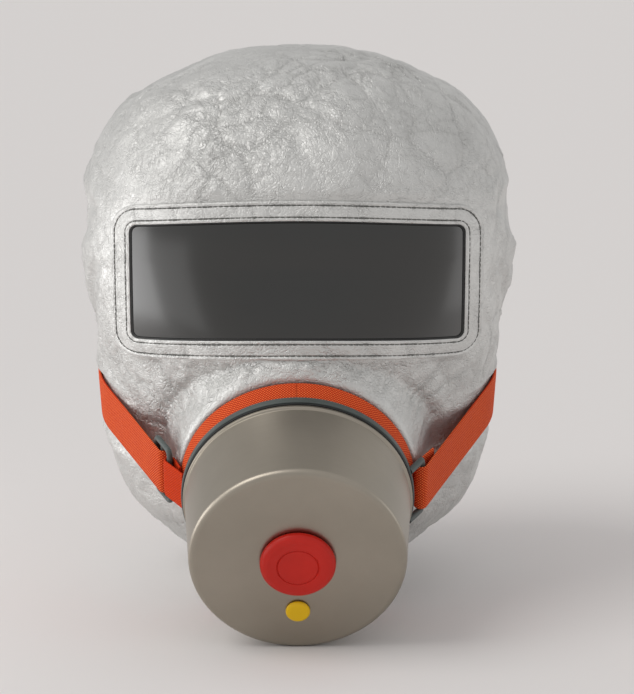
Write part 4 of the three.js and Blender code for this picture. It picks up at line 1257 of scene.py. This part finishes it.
def dress_kept_nodes():
    for name, material in KEPT.items():
        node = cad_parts[name]
        node.data.materials.clear()
        node.data.materials.append(material)
        edge = node.modifiers.new("edges", "BEVEL")
        edge.width = 0.2 * MM
        edge.segments = 2
        edge.limit_method = "ANGLE"
        edge.angle_limit = math.radians(40)


# ---- Studio ----
CAMERA_DISTANCE = 1500
CAMERA_ELEVATION = math.radians(10)
CAMERA_PIVOT = Vector((0, DEPTH_SHIFT, 140))
CAMERA_AIM = Vector((10.1, DEPTH_SHIFT, 122.2))
CAMERA_LENS = 150.2
# In metres and watts: name, place, size and power of the soft lights beside the hood.
SIDE_LIGHTS = [
    ("left_strip", (-0.52, -0.02, 0.1), (0.3, 0.2), 0.5),
    ("left_glow", (-0.42, -0.25, 0.1), (0.24, 0.14), 0.08),
    ("right_strip", (0.5, 0.0, 0.12), (0.2, 0.2), 0.09),
]
LIGHT_TARGET = Vector((0, -0.05, 0.16))
FLOOR_REACH = 9


def make_camera():
    data = bpy.data.cameras.new("camera")
    data.lens = CAMERA_LENS
    camera = bpy.data.objects.new("camera", data)
    bpy.context.scene.collection.objects.link(camera)
    lean = Vector((0, -math.cos(CAMERA_ELEVATION), math.sin(CAMERA_ELEVATION)))
    camera.location = (CAMERA_PIVOT + lean * CAMERA_DISTANCE) * MM
    camera.rotation_euler = (CAMERA_AIM * MM - camera.location).to_track_quat("-Z", "Y").to_euler()
    bpy.context.scene.camera = camera


def area_light(name, location, size, energy):
    data = bpy.data.lights.new(name, "AREA")
    data.shape = "RECTANGLE"
    data.size, data.size_y = size
    data.energy = energy
    light = bpy.data.objects.new(name, data)
    bpy.context.scene.collection.objects.link(light)
    light.location = location
    light.rotation_euler = (LIGHT_TARGET - Vector(location)).to_track_quat("-Z", "Y").to_euler()


def sun_light(toward, strength, spread, color):
    """A far, soft light that comes from the direction toward; spread is its apparent width in degrees."""
    data = bpy.data.lights.new("key", "SUN")
    data.energy = strength
    data.angle = math.radians(spread)
    data.color = color
    light = bpy.data.objects.new("key", data)
    bpy.context.scene.collection.objects.link(light)
    light.rotation_euler = Vector(toward).to_track_quat("Z", "Y").to_euler()


def make_studio():
    mesh = bpy.data.meshes.new("floor")
    corners = [(x * FLOOR_REACH, y * FLOOR_REACH, 0) for x, y in ((-1, -1), (1, -1), (1, 1), (-1, 1))]
    mesh.from_pydata(corners, [], [(0, 1, 2, 3)])
    floor = bpy.data.objects.new("floor", mesh)
    bpy.context.scene.collection.objects.link(floor)
    g = Graph("floor_paper", linear(228, 225, 224), 0.9)
    mesh.materials.append(g.finish(Normal=g.bump(g.noise(g.place, 220.0, 3.0), 0.1, 0.2)))

    world = bpy.data.worlds.new("studio")
    bpy.context.scene.world = world
    world.use_nodes = True
    background = world.node_tree.nodes["Background"]
    background.inputs["Color"].default_value = (1.0, 0.99, 0.985, 1)
    background.inputs["Strength"].default_value = 0.62
    sun_light((-0.8, -0.3, 0.95), 0.95, 40, (1, 0.985, 0.96))
    for light in SIDE_LIGHTS:
        area_light(*light)
    bpy.context.scene.view_settings.view_transform = "Standard"


make_camera()
make_studio()
make_hood()
make_visor()
make_neck()
make_canister()
make_collar()
make_straps()
make_buckle()
make_half_mask()
dress_kept_nodes()
